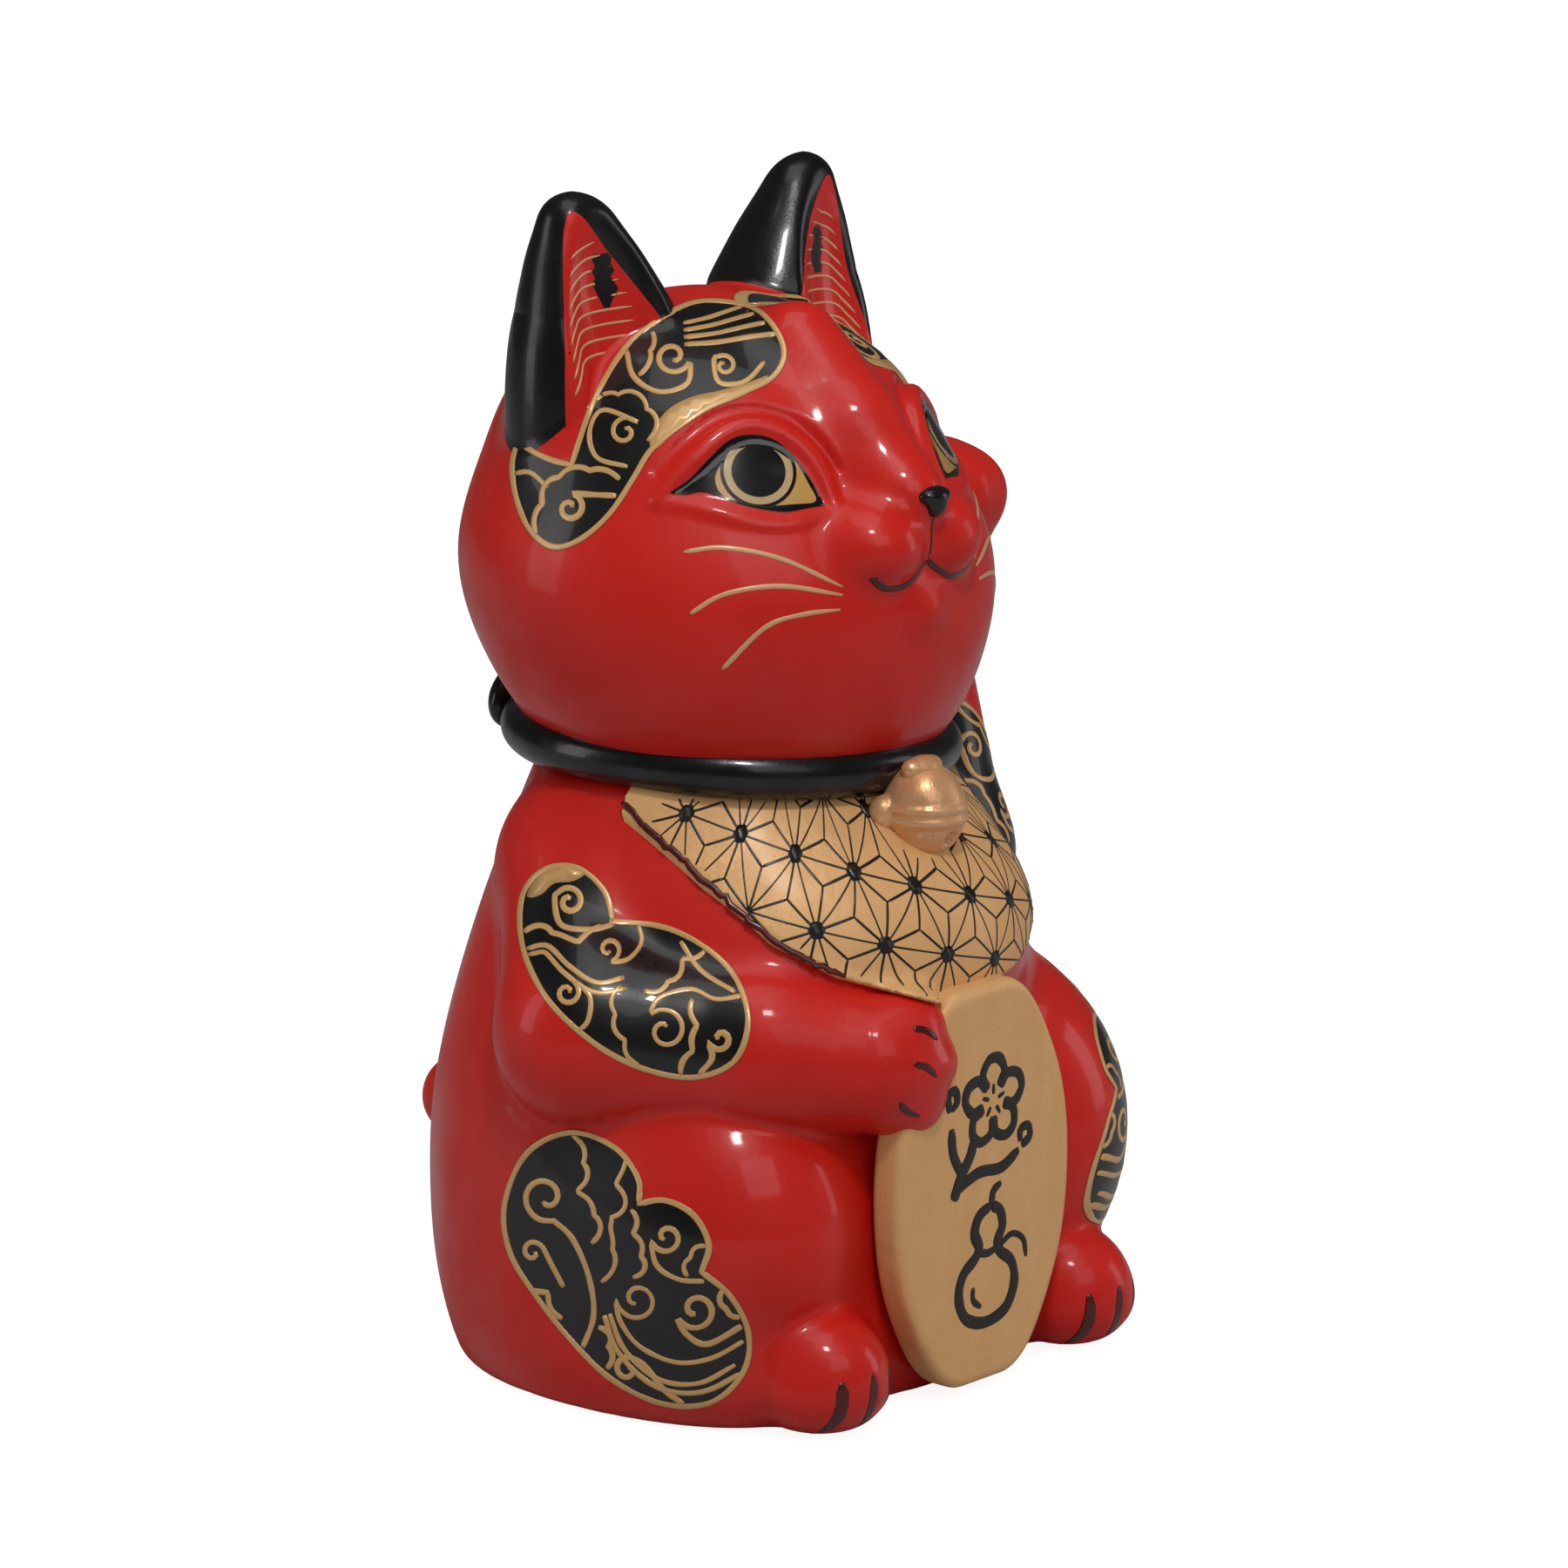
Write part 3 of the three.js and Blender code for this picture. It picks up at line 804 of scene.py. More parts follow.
def crest_wear_crease_shade() -> bpy.types.NodeTree:
    """Where handling thins the paint, on raised edges, and painted shade that darkens the paint in creases and
    hollows.
    """
    group = new_group(
        "crest_wear_crease_shade",
        [("Sharpness", "Float", 0.52), ("Break up", "Float", 220.0)],
        [("Crest", "Float"), ("Crease", "Float")],
    )
    w = Wiring(group)
    start, end = group.nodes["in"], group.nodes["out"]
    place = w.add("TexCoord").outputs["Object"]
    point = w.add("NewGeometry").outputs["Pointiness"]
    torn = w.add("TexNoise", Vector=place, Scale=start.outputs["Break up"], Detail=3.0)
    uneven = w.math("MULTIPLY", w.math("SUBTRACT", torn.outputs["Fac"], 0.5), 0.12)
    raised = w.math("SUBTRACT", w.math("ADD", point, uneven), start.outputs["Sharpness"])
    w.feed(end, "Crest", w.math("MULTIPLY", raised, 14.0, clamp=True))
    # Crease: a mask for painted shade, strongest where the surface is hollow.
    w.feed(end, "Crease", w.math("MULTIPLY", w.math("SUBTRACT", 0.475, point), 16.0, clamp=True))
    return group


GROUPS: dict[str, bpy.types.NodeTree] = {}


@dataclass(frozen=True)
class Paint:
    """A coat of paint on ceramic, under a varnish.

    Attributes:
        name: its name.
        slot: the material slot that it belongs to; not used.
        thick: its colour where the coat is thick, as linear RGB.
        thin: its colour where the coat is thin or rubbed away.
        rough: its roughness where smoothest and where roughest.
        metallic: how metallic its pigment is.
        coat: the varnish's weight.
        coat_rough: the varnish's roughness.
        drift: how far its tone drifts from place to place.
        relief: the height of its brush marks, in metres.
        strokes: the fineness of its strokes.
        waves: the fineness of its slow waves.
        flecked: how strongly specks show.
        fleck_colour: their colour.
        fleck_scale: how closely they are set.
        wear_and_crease_shade: how far handling has thinned it on raised edges, and how far painted shade darkens its
            creases and hollows.
        varnish_gaps: how far the varnish fails to cover it.
        gloss: the strength of its own reflection.
    """

    name: str
    slot: str
    thick: Triple
    thin: Triple
    rough: Pair = (0.3, 0.45)
    metallic: float = 0.0
    coat: float = 0.3
    coat_rough: float = 0.12
    drift: float = 0.6
    relief: float = 0.0001
    strokes: float = 240.0
    waves: float = 90.0
    flecked: float = 0.0
    fleck_colour: Triple = (1.0, 1.0, 1.0)
    fleck_scale: float = 900.0
    wear_and_crease_shade: float = 0.0
    varnish_gaps: float = 0.0
    gloss: float = 0.4

    def material(self) -> bpy.types.Material:
        """Builds the material."""
        made = bpy.data.materials.new(self.name)
        made.use_nodes = True
        made.diffuse_color = (*self.thick, 1)
        w = Wiring(made.node_tree)
        shader = made.node_tree.nodes["Principled BSDF"]
        film = self.placed(w, "brush_film", Stroke_scale=self.strokes, Wave_scale=self.waves)
        tone = self.placed(w, "tone_drift", Thick=(*self.thick, 1), Thin=(*self.thin, 1), Amount=self.drift,
                           Strokes=film.outputs["Strokes"])
        colour = tone.outputs["Color"]
        if self.wear_and_crease_shade:
            wear_and_shade = self.placed(w, "crest_wear_crease_shade")
            colour = w.mix(w.math("MULTIPLY", wear_and_shade.outputs["Crest"], self.wear_and_crease_shade), colour, (*self.thin, 1))
            # Painted shade: creases and hollows are darkened towards 0.45 of the thick colour.
            deep = tuple(c * 0.45 for c in self.thick)
            colour = w.mix(w.math("MULTIPLY", wear_and_shade.outputs["Crease"], self.wear_and_crease_shade * 0.8), colour, (*deep, 1))
        if self.flecked:
            spots = self.placed(w, "flecks", Scale=self.fleck_scale)
            colour = w.mix(w.math("MULTIPLY", spots.outputs["Mask"], self.flecked), colour, (*self.fleck_colour, 1))
        w.feed(shader, "Base Color", colour)
        smooth = w.ramp(film.outputs["Waves"], 0.35, 0.65, self.rough[0], self.rough[1])
        w.feed(shader, "Roughness", smooth)
        shader.inputs["Metallic"].default_value = self.metallic
        shader.inputs["Specular IOR Level"].default_value = self.gloss
        shader.inputs["Coat Roughness"].default_value = self.coat_rough
        if self.varnish_gaps:
            cover = w.ramp(film.outputs["Waves"], 0.5 - self.varnish_gaps * 0.3, 0.62, self.coat, self.coat * 0.35)
            w.feed(shader, "Coat Weight", cover)
        else:
            shader.inputs["Coat Weight"].default_value = self.coat
        bump = w.add("Bump", Height=film.outputs["Height"], Strength=1.0, Distance=self.relief)
        w.feed(shader, "Normal", bump.outputs[0])
        return made

    @staticmethod
    def placed(w: Wiring, name: str, **inputs: object) -> bpy.types.Node:
        """Places a shared node group in a material with its own values."""
        if name not in GROUPS:
            GROUPS[name] = {"brush_film": brush_film, "tone_drift": tone_drift, "flecks": flecks,
                            "crest_wear_crease_shade": crest_wear_crease_shade}[name]()
        return w.add("Group", {"node_tree": GROUPS[name]}, **inputs)


class Finish(Enum):
    """The cat's finishes."""

    RED = Paint("red_enamel", "red_ceramic", (0.57, 0.0085, 0.0032), (0.67, 0.016, 0.008), rough=(0.38, 0.5),
                coat=0.5, coat_rough=0.1, drift=0.75, relief=0.0003, strokes=160.0, waves=70.0,
                flecked=0.18, fleck_colour=(0.16, 0.004, 0.003), fleck_scale=700.0, wear_and_crease_shade=0.45, varnish_gaps=0.5,
                gloss=0.26)
    BLACK = Paint("black_enamel", "black_enamel", (0.0045, 0.0045, 0.0052), (0.011, 0.010, 0.011),
                  rough=(0.24, 0.34), coat=0.4, coat_rough=0.07, relief=0.0003, strokes=120.0, waves=110.0,
                  flecked=0.25, fleck_colour=(0.05, 0.05, 0.05), wear_and_crease_shade=0.25, varnish_gaps=0.3)
    DECAL_BLACK = Paint("patch_black", "black_enamel", (0.0048, 0.0045, 0.0044), (0.009, 0.008, 0.008),
                        rough=(0.3, 0.42), coat=0.4, coat_rough=0.05, relief=0.00012, strokes=90.0)
    DECAL_GOLD = Paint("patch_gold", "gold_paint", (0.62, 0.36, 0.13), (0.72, 0.45, 0.19), rough=(0.34, 0.46),
                       metallic=0.2, coat=0.45, coat_rough=0.1, relief=0.00006, strokes=500.0, flecked=0.35,
                       fleck_colour=(0.2, 0.09, 0.02), fleck_scale=2600.0)
    GOLD = Paint("gold_paint", "gold_paint", (0.74, 0.40, 0.152), (0.84, 0.495, 0.22), rough=(0.46, 0.6),
                 metallic=0.15, coat=0.12, coat_rough=0.2, relief=0.00045, strokes=420.0, waves=190.0,
                 flecked=0.55, fleck_colour=(0.16, 0.075, 0.02), fleck_scale=1500.0, wear_and_crease_shade=0.5)
    COPPER = Paint("copper_gold", "copper_gold", (0.74, 0.37, 0.165), (0.88, 0.54, 0.30), rough=(0.3, 0.45),
                   metallic=0.4, coat=0.2, coat_rough=0.15, relief=0.0004, strokes=380.0, waves=260.0,
                   flecked=0.5, fleck_colour=(0.2, 0.06, 0.015), fleck_scale=1300.0, wear_and_crease_shade=0.9)
    EYE_BLACK = Paint("eye_black", "eye_enamel", (0.004, 0.004, 0.0045), (0.008, 0.008, 0.009), rough=(0.1, 0.16),
                      coat=1.0, coat_rough=0.03, relief=0.00003, strokes=80.0, waves=50.0)
    AMBER = Paint("eye_amber", "eye_enamel", (0.47, 0.235, 0.045), (0.62, 0.37, 0.11), rough=(0.18, 0.25),
                  coat=1.0, coat_rough=0.04, relief=0.00003, strokes=300.0, drift=0.9)
    IRIS = Paint("eye_iris", "eye_enamel", (0.46, 0.30, 0.13), (0.58, 0.42, 0.22), rough=(0.18, 0.25),
                 coat=1.0, coat_rough=0.04, relief=0.00003, strokes=300.0, drift=0.9)
    CLAW = Paint("claw_paint", "black_enamel", (0.055, 0.004, 0.003), (0.12, 0.008, 0.005), rough=(0.3, 0.4),
                 coat=0.3, relief=0.00005)
    WHISKER = Paint("whisker_gold", "gold_paint", (0.62, 0.33, 0.15), (0.70, 0.42, 0.22), rough=(0.35, 0.45),
                    metallic=0.1, coat=0.3, relief=0.00005, strokes=600.0)
    INK = Paint("ink_black", "black_enamel", (0.008, 0.007, 0.006), (0.018, 0.014, 0.011), rough=(0.35, 0.5),
                coat=0.2, relief=0.00008, strokes=500.0)
    RUBBER = Paint("stopper_rubber", "stopper_rubber", (0.022, 0.022, 0.023), (0.045, 0.044, 0.043),
                   rough=(0.7, 0.85), coat=0.0, relief=0.0002, strokes=300.0, flecked=0.3,
                   fleck_colour=(0.12, 0.11, 0.1), wear_and_crease_shade=0.6)


MATERIALS: dict[Finish, bpy.types.Material] = {}


# ------------------------ pieces
@dataclass
class Bench:
    """Turns shapes into named objects in the frame.

    Attributes:
        origin: the frame's position of the cat's own origin, in metres.
        made: the pieces so far.
    """

    origin: Vector
    made: list[bpy.types.Object] = field(default_factory=list)

    def piece(self, name: str, shape: Shape, finish: Finish, *nodes: str, shade: Form | None = None,
              body: str = "figure") -> bpy.types.Object:
        """Makes a piece.

        Args:
            name: its name.
            shape: its mesh in the cat's axes.
            finish: its finish.
            nodes: the frame's nodes that it stands for.
            shade: a field that gives its shading normals.
            body: the body that it moves with.

        Returns:
            The object.
        """
        mesh = bpy.data.meshes.new(name)
        mesh.from_pydata((shape.vertices * MM).tolist(), [], shape.faces)
        mesh.validate(clean_customdata=False)
        mesh.polygons.foreach_set("use_smooth", [True] * len(mesh.polygons))
        normals = shape.normals
        if shade is not None:
            normals = slope_of(shade, shape.vertices)
            normals /= np.maximum(np.linalg.norm(normals, axis=1, keepdims=True), 1e-6)
        if normals is not None and len(normals) == len(mesh.vertices):
            mesh.normals_split_custom_set_from_vertices(normals.tolist())
        mesh.update()
        if finish not in MATERIALS:
            MATERIALS[finish] = finish.value.material()
        mesh.materials.append(MATERIALS[finish])
        made = bpy.data.objects.new(name, mesh)
        bpy.context.scene.collection.objects.link(made)
        made.location = self.origin
        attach(made, body)
        if nodes:
            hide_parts(*nodes)
        self.made.append(made)
        log.info("%s: %d faces, %s", name, len(mesh.polygons), finish.value.name)
        return made


@dataclass
class Sculpt:
    """The cat's sculpted forms, each as a field in the cat's axes.

    Attributes:
        neck: the height of the joint between body and head.
        body_depth: the torso's depth as a share of its width.
        body_back: how far back the torso's axis stands.
        head_middle: the height of the head's centre.
        shrink: how far a limb is drawn in where the body's own skin runs under it.
    """

    neck: float = 78.5
    body_depth: float = 0.87
    body_back: float = 6.5
    body_lean: float = 0.025
    head_middle: float = 102.5
    head_depth: float = 0.957
    haunch: Triple = (22.5, -5.8, 23.0)
    haunch_radii: Triple = (19.5, 25.0, 23.5)
    elbow: Triple = (-34.7, 0.5, 48.0)
    paw: Triple = (-15.0, -28.1, 45.0)
    raised_elbow: Triple = (32.0, 2.6, 59.0)
    raised_wrist: Triple = (33.8, 9.6, 90.5)
    raised_paw: Triple = (37.4, 7.0, 104.2)
    foot: Triple = (24.0, -24.6, 7.5)
    knee_rise: float = 4.8
    shrink: float = 0.14

    def torso(self) -> Form:
        """The turned torso, open at neither end."""
        radius = smooth_table([(-8, 34), (0, 39.8), (5, 41.6), (11, 42.8), (22.5, 43.4), (32, 42.8), (41, 41.0),
                               (50, 38.3), (59.5, 34.8), (68, 31.2), (75, 28.0), (84, 24)])

        def value(p: Points) -> np.ndarray:
            """The field at p."""
            z = p[..., 2]
            depth = (p[..., 1] - self.body_back - self.body_lean * z) / self.body_depth
            return (np.hypot(p[..., 0], depth) - radius(z)) * 0.92

        return value

    def arm(self) -> Form:
        """The foreleg that holds the coin tablet, with three toes at the end of its paw."""
        elbow, paw = np.array(self.elbow), np.array(self.paw)
        fore = elbow + (paw - elbow) * 0.62
        base = joined(limb((-23.6, 14.0, 66.0), self.elbow, 9.3, 12.0), limb(self.elbow, tuple(fore), 12.0, 10.8),
                      limb(tuple(fore), self.paw, 10.8, 8.8), softness=3.0)
        toes = [near(ball(at, radii, (0, 0, 28)), at, 14)
                for at, radii in (((-11.8, -31.0, 49.6), (5.0, 4.8, 4.2)), ((-10.6, -31.8, 44.8), (5.2, 5.0, 4.2)),
                                  ((-12.0, -31.2, 40.0), (5.0, 4.8, 4.2)))]
        return joined(base, *toes, softness=2.2)

    def raised(self) -> Form:
        """The raised foreleg, with its paw beside the cheek."""
        x, y, z = self.raised_paw
        base = joined(limb((27.1, 11.5, 66.5), self.raised_elbow, 9.0, 10.0),
                      limb(self.raised_elbow, self.raised_wrist, 10.0, 7.6),
                      limb(self.raised_wrist, self.raised_paw, 7.6, 8.6), softness=4.0)
        toes = [near(ball(at, (3.2, 4.6, 4.4)), at, 12)
                for at in ((x - 4.2, y - 3.8, z + 1.6), (x - 0.4, y - 4.4, z + 2.2), (x + 3.4, y - 3.8, z + 1.6))]
        return joined(base, *toes, softness=2.4)

    def hind_foot(self, side: int) -> Form:
        """A hind foot, with four toes parted by slits."""
        x, y, z = self.foot
        base = joined(ball((side * x, y, z), (8.9, 11.9, 8.2)), ball((side * x, y - 3.6, z - 2.0), (8.6, 8.0, 6.0)),
                      softness=1.6)
        slits = [limb((side * x + across, y - 13.6, z + 2.4), (side * x + across, y - 12.2, z - 6.5), 0.55, 0.75)
                 for across in (-4.4, 0.0, 4.4)]
        return carved(base, joined(*slits, softness=0.4), 1.3)

    def tail(self) -> Form:
        """The short tail."""
        return joined(limb((-5, 40.0, 22.5), (-10, 48.0, 25.4), 6.9, 5.7), softness=1.0)

    def body(self, full: bool = True) -> Form:
        """The body with its limbs grown into it.

        Args:
            full: True gives the whole figure's skin, False the body's own, just under the limbs' skins.

        Returns:
            The field.
        """
        draw = 0.0 if full else -self.shrink
        x, y, z = self.haunch
        torso = self.torso()
        haunches = [ball((s * x, y, z), self.haunch_radii, (0, 0, s * 14)) for s in (-1, 1)]
        haunches.append(ball((x + 1.0, y - 0.5, z + self.knee_rise), self.haunch_radii, (0, 0, 14)))
        seats = [ball((s * x, y, 7), (18.6, 24.2, 13)) for s in (-1, 1)]
        shoulders = [ball((s * 21.0, 11.0, 63), (12.3, 14, 12)) for s in (-1, 1)]
        chest = ball((0, -5, 55.5), (28.3, 26, 19))
        arm, raised = grown(self.arm(), draw), grown(self.raised(), draw)
        feet = [grown(self.hind_foot(s), draw) for s in (-1, 1)]
        tail = grown(self.tail(), draw)

        def value(p: Points) -> np.ndarray:
            """The field at p."""
            height = p[..., 2]
            result = torso(p)
            for seat in seats:
                result = blended(result, seat(p), 5.0)
            for haunch in haunches:
                result = blended(result, haunch(p), 4.0)
            result = blended(result, chest(p), 8.0)
            for shoulder in shoulders:
                result = blended(result, shoulder(p), 4.0)
            result = blended(result, arm(p), np.interp(height, [38, 56, 72], [1.6, 2.2, 4.5]))
            rim = self.neck - 2.2 - 0.054 * p[..., 0] + 0.024 * p[..., 1]
            result = -blended(-result, rim - height, 3.0)
            result = blended(result, raised(p), np.interp(height, [50, 62, 76], [2.0, 3.0, 4.0]))
            for foot in feet:
                result = blended(result, foot(p), 1.6)
            result = blended(result, tail(p), 1.4)
            result = -blended(-result, height, 1.2)
            reach = np.hypot(p[..., 0], p[..., 1] - self.body_back)
            recess = np.minimum(np.maximum(reach - 16.9, height - 3.5), np.maximum(reach - 12.5, height - 24.0))
            return -blended(-result, recess, 0.5)

        return value

    def skull(self) -> Form:
        """The head's plain round form."""
        radius = smooth_table([(-90, 31), (-60, 33.2), (-43, 34.5), (-21, 34.8), (-9, 35.0), (2.5, 34.7), (12, 33.8),
                               (24, 33.0), (36, 33.3), (50, 33.6), (71, 33.3), (90, 33.5)])

        def value(p: Points) -> np.ndarray:
            """The field at p."""
            z = p[..., 2]
            depth = (p[..., 1] - self.body_back - 0.1 - 0.14 * (z - self.neck)) / self.head_depth
            flat, rise = np.hypot(p[..., 0], depth), z - self.head_middle
            angle = np.degrees(np.arctan2(rise, flat))
            ball_field = (np.hypot(flat, rise) - radius(angle)) * 0.96
            return -blended(-ball_field, z - self.neck + 1.2, 1.0)

        return value

    def ear(self, side: int) -> Form:
        """An ear: round at the back, hollowed in front between two ridges."""
        half = smooth_table([(90, 11.4), (110, 12.6), (122, 12.6), (130, 12.0), (135.3, 10.8), (138.7, 9.4),
                             (142, 7.9), (145.3, 6.1), (148, 4.7), (152, 3.0)])
        stand, peak = (18.7, 150.9) if side > 0 else (16.9, 150.0)
        scoop = ball((side * (stand + 3.2), 6.2, 134.0), (8.4, 6.6, 18.0), (-9, side * 7, side * 16))

        def value(p: Points) -> np.ndarray:
            """The field at p."""
            z = p[..., 2]
            lean = np.clip((z - 135) / 16, 0, 1) * 4.0
            width = half(z)
            across = (p[..., 0] - side * (stand + lean)) / width
            back = (p[..., 1] - 16.6 - 0.02 * (z - 130)) / (width * 0.83)
            side_field = (np.hypot(across, back) - 1) * np.minimum(width, 9.0) * 0.72
            tall = -blended(-side_field, peak - z, 3.6)
            return -blended(-tall, z - 108.0, 2.0)

        return carved(value, scoop, 2.0)

    def head(self, full: bool = True, horns: bool = True) -> Form:
        """The head with its muzzle, brow, eyelids and ears.

        Args:
            full: True gives the whole skin, False the head's own, just under the ears' skins.
            horns: False leaves the ears away.

        Returns:
            The field.
        """
        draw = 0.0 if full else -self.shrink
        skull = self.skull()
        pads = [near(ball((s * 5.2, -17.6, 107.6), (7.4, 8.4, 6.2), (0, 0, s * 10)), (s * 5, -17, 106),
                     26) for s in (-1, 1)]
        bridge = near(ball((0, -16.0, 113.0), (4.8, 9.2, 4.6)), (0, -15, 113), 26)
        ridge = near(joined(limb((0, -19.4, 114.5), (0, -12.6, 121.5), 4.4, 4.6),
                            limb((0, -12.6, 121.5), (0, -2.6, 131.0), 4.6, 4.6), softness=2.0), (0, -12, 121), 34)
        chin = near(ball((0, -19.0, 99.6), (4.6, 5.6, 3.6)), (0, -19.0, 99.6), 20)
        sockets = [near(ball((s * 9.0, -22.8, 117.0), (3.6, 5.0, 4.6)), (s * 9.0, -22.8, 117.0), 20) for s in (-1, 1)]
        ears = [grown(self.ear(s), draw) for s in (-1, 1)] if horns else []
        lids = [self.lids(s, skull) for s in (-1, 1)]
        split = near(strand(np.array([(0, -26.0, 111.4), (0, -26.2, 109.0), (0, -25.8, 106.4), (0, -24.4, 104.8)]),
                            (0.35, 0.55, 0.6, 0.3)), (0, -24, 106), 22)

        def value(p: Points) -> np.ndarray:
            """The field at p."""
            result = skull(p)
            for socket in sockets:
                result = -blended(-result, socket(p), 5.0)
            result = blended(result, ridge(p), 6.0)
            result = blended(result, bridge(p), 3.4)
            for pad in pads:
                result = blended(result, pad(p), 2.4)
            result = blended(result, chin(p), 3.0)
            result = -blended(-result, split(p), 0.9)
            for ridge_form, crease_form in lids:
                result = blended(result, ridge_form(p), 1.5)
                result = -blended(-result, crease_form(p), 1.1)
            for ear in ears:
                result = blended(result, ear(p), 1.5)
            across = np.hypot(np.maximum(np.abs(p[..., 0]) - 13.6, 0), p[..., 2] - 118.5) - 2.4
            return -blended(-result, np.maximum(across, 27.0 - p[..., 1]), 0.9)

        return value

    def eye_chart(self, side: int, form: Form) -> Chart:
        """The drawing board of an eye, drawn for the right eye and mirrored for the left."""
        middle = (-18.2, -12.4, 118.3) if side < 0 else (19.4, -11.6, 118.3)
        return Chart(form, middle, azimuth=side * 42, elevation=20, mirror=side > 0, reach=24)

    def lids(self, side: int, skull: Form) -> tuple[Form, Form]:
        """The raised lids round an eye, and the crease above them."""
        chart = self.eye_chart(side, skull)
        upper = [(-12.4, -3.4), (-10.4, -0.9), (-7.2, 2.2), (-3.9, 4.9), (-0.6, 5.9), (3.0, 5.1), (6.0, 2.9),
                 (8.2, -0.4), (9.6, -4.4)]
        lower = [(-12.0, -3.8), (-9.0, -4.3), (-5.2, -5.3), (-1.6, -6.4), (2.2, -6.9), (6.0, -6.2), (9.4, -5.0)]
        fold = [(-12.6, 0.4), (-9.0, 4.0), (-4.8, 7.2), (-0.4, 8.2), (4.0, 7.2), (7.6, 4.2), (10.0, 0.6)]
        upper_line = chart.laid(smoothed(upper, spacing=1.6), -0.15)
        lower_line = chart.laid(smoothed(lower, spacing=1.6), -0.45)
        fold_line = chart.laid(smoothed(fold, spacing=1.8), 0.1)
        middle = tuple(chart.laid(np.array([(0.0, 0.0)]), 0)[0])
        upper_form = strand(upper_line, np.interp(np.linspace(0, 1, len(upper_line)), [0, 0.2, 0.7, 1],
                                                  [0.5, 1.05, 1.1, 0.4]))
        lower_form = strand(lower_line, np.interp(np.linspace(0, 1, len(lower_line)), [0, 0.3, 0.8, 1],
                                                  [0.25, 0.6, 0.5, 0.25]))
        crease = strand(fold_line, np.interp(np.linspace(0, 1, len(fold_line)), [0, 0.3, 0.8, 1],
                                             [0.15, 0.7, 0.6, 0.15]))
        both = joined(upper_form, lower_form, softness=0.6)
        return near(both, middle, 20), near(crease, middle, 22)

    def collar_centre(self) -> np.ndarray:
        """The middle of the collar's ring."""
        return np.array([0, self.body_back + self.body_lean * self.neck + 0.6, self.neck])

    def collar(self) -> Form:
        """The round collar, slightly uneven, as painted over a moulded cord."""
        middle, tilt = self.collar_centre() + np.array([0, 0, 0.5]), rotation((1.4, 3.1, 0))

        def value(p: Points) -> np.ndarray:
            """The field at p."""
            q = (p - middle) @ tilt
            turn = np.arctan2(q[..., 1], q[..., 0])
            thick = 3.15 + 0.10 * np.sin(3 * turn + 1) + 0.07 * np.sin(7 * turn)
            ring = np.hypot(q[..., 0], q[..., 1]) - 26.5 - 0.12 * np.sin(5 * turn)
            return np.hypot(ring, q[..., 2]) - thick

        return value


@dataclass
class BodyAssembly:
    """The body shell, its forelegs, hind feet and tail."""

    bench: Bench
    sculpt: Sculpt
    facet: float = 0.75

    def build(self) -> None:
        """Makes the pieces."""
        skin, own = self.sculpt.body(True), self.sculpt.body(False)
        step = self.facet
        piece = self.bench.piece
        piece("body_skin", Shape.sculpted(own, (-47, -42, 0), (47, 56, 82), step), Finish.RED, "body_shell",
              shade=skin)
        piece("holding_foreleg", Shape.sculpted(self.floored(self.sculpt.arm()), (-48, -40, 32), (0, 28, 80), 0.6),
              Finish.RED, "holding_arm", shade=skin)
        piece("raised_foreleg", Shape.sculpted(self.sculpt.raised(), (16, -12, 46), (48, 24, 116), 0.6),
              Finish.RED, "raised_arm", shade=self.raised_skin(skin))
        for side, name in ((1, "left"), (-1, "right")):
            foot = self.floored(self.sculpt.hind_foot(side))
            x = side * 24
            piece(f"{name}_foot", Shape.sculpted(foot, (x - 12, -40, 0), (x + 12, -8, 18), 0.5), Finish.RED,
                  f"{name}_hind_foot", shade=skin)
        piece("tail_stub", Shape.sculpted(self.sculpt.tail(), (-18, 32, 14), (4, 56, 34), 0.5), Finish.RED, "tail",
              shade=skin)

    def floored(self, form: Form) -> Form:
        """A form kept above the floor."""
        return lambda p: -blended(-form(p), p[..., 2], 1.2)

    def raised_skin(self, skin: Form) -> Form:
        """The skin round the raised foreleg, clear of the neck's end."""
        raised = self.sculpt.raised()
        return lambda p: np.where(p[..., 2] > 74, raised(p), skin(p))


@dataclass
class HeadAssembly:
    """The head and ears."""

    bench: Bench
    sculpt: Sculpt
    facet: float = 0.6

    def build(self) -> None:
        """Makes the pieces."""
        skin, own = self.sculpt.head(True), self.sculpt.head(False)
        step = self.facet
        piece = self.bench.piece
        piece("head_skin", Shape.sculpted(own, (-38, -30, 76), (38, 48, 140), step), Finish.RED, "head_shell",
              shade=skin)
        for side, name in ((1, "left"), (-1, "right")):
            x = side * 20
            piece(f"{name}_ear_horn", Shape.sculpted(self.upper(self.sculpt.ear(side)), (x - 14, 3, 112),
                                                     (x + 14, 29, 153), 0.5),
                  Finish.BLACK, f"{name}_ear", shade=skin)

    def upper(self, form: Form) -> Form:
        """An ear without the part that would be deep in the head."""
        return lambda p: -blended(-form(p), p[..., 2] - 114, 0.8)


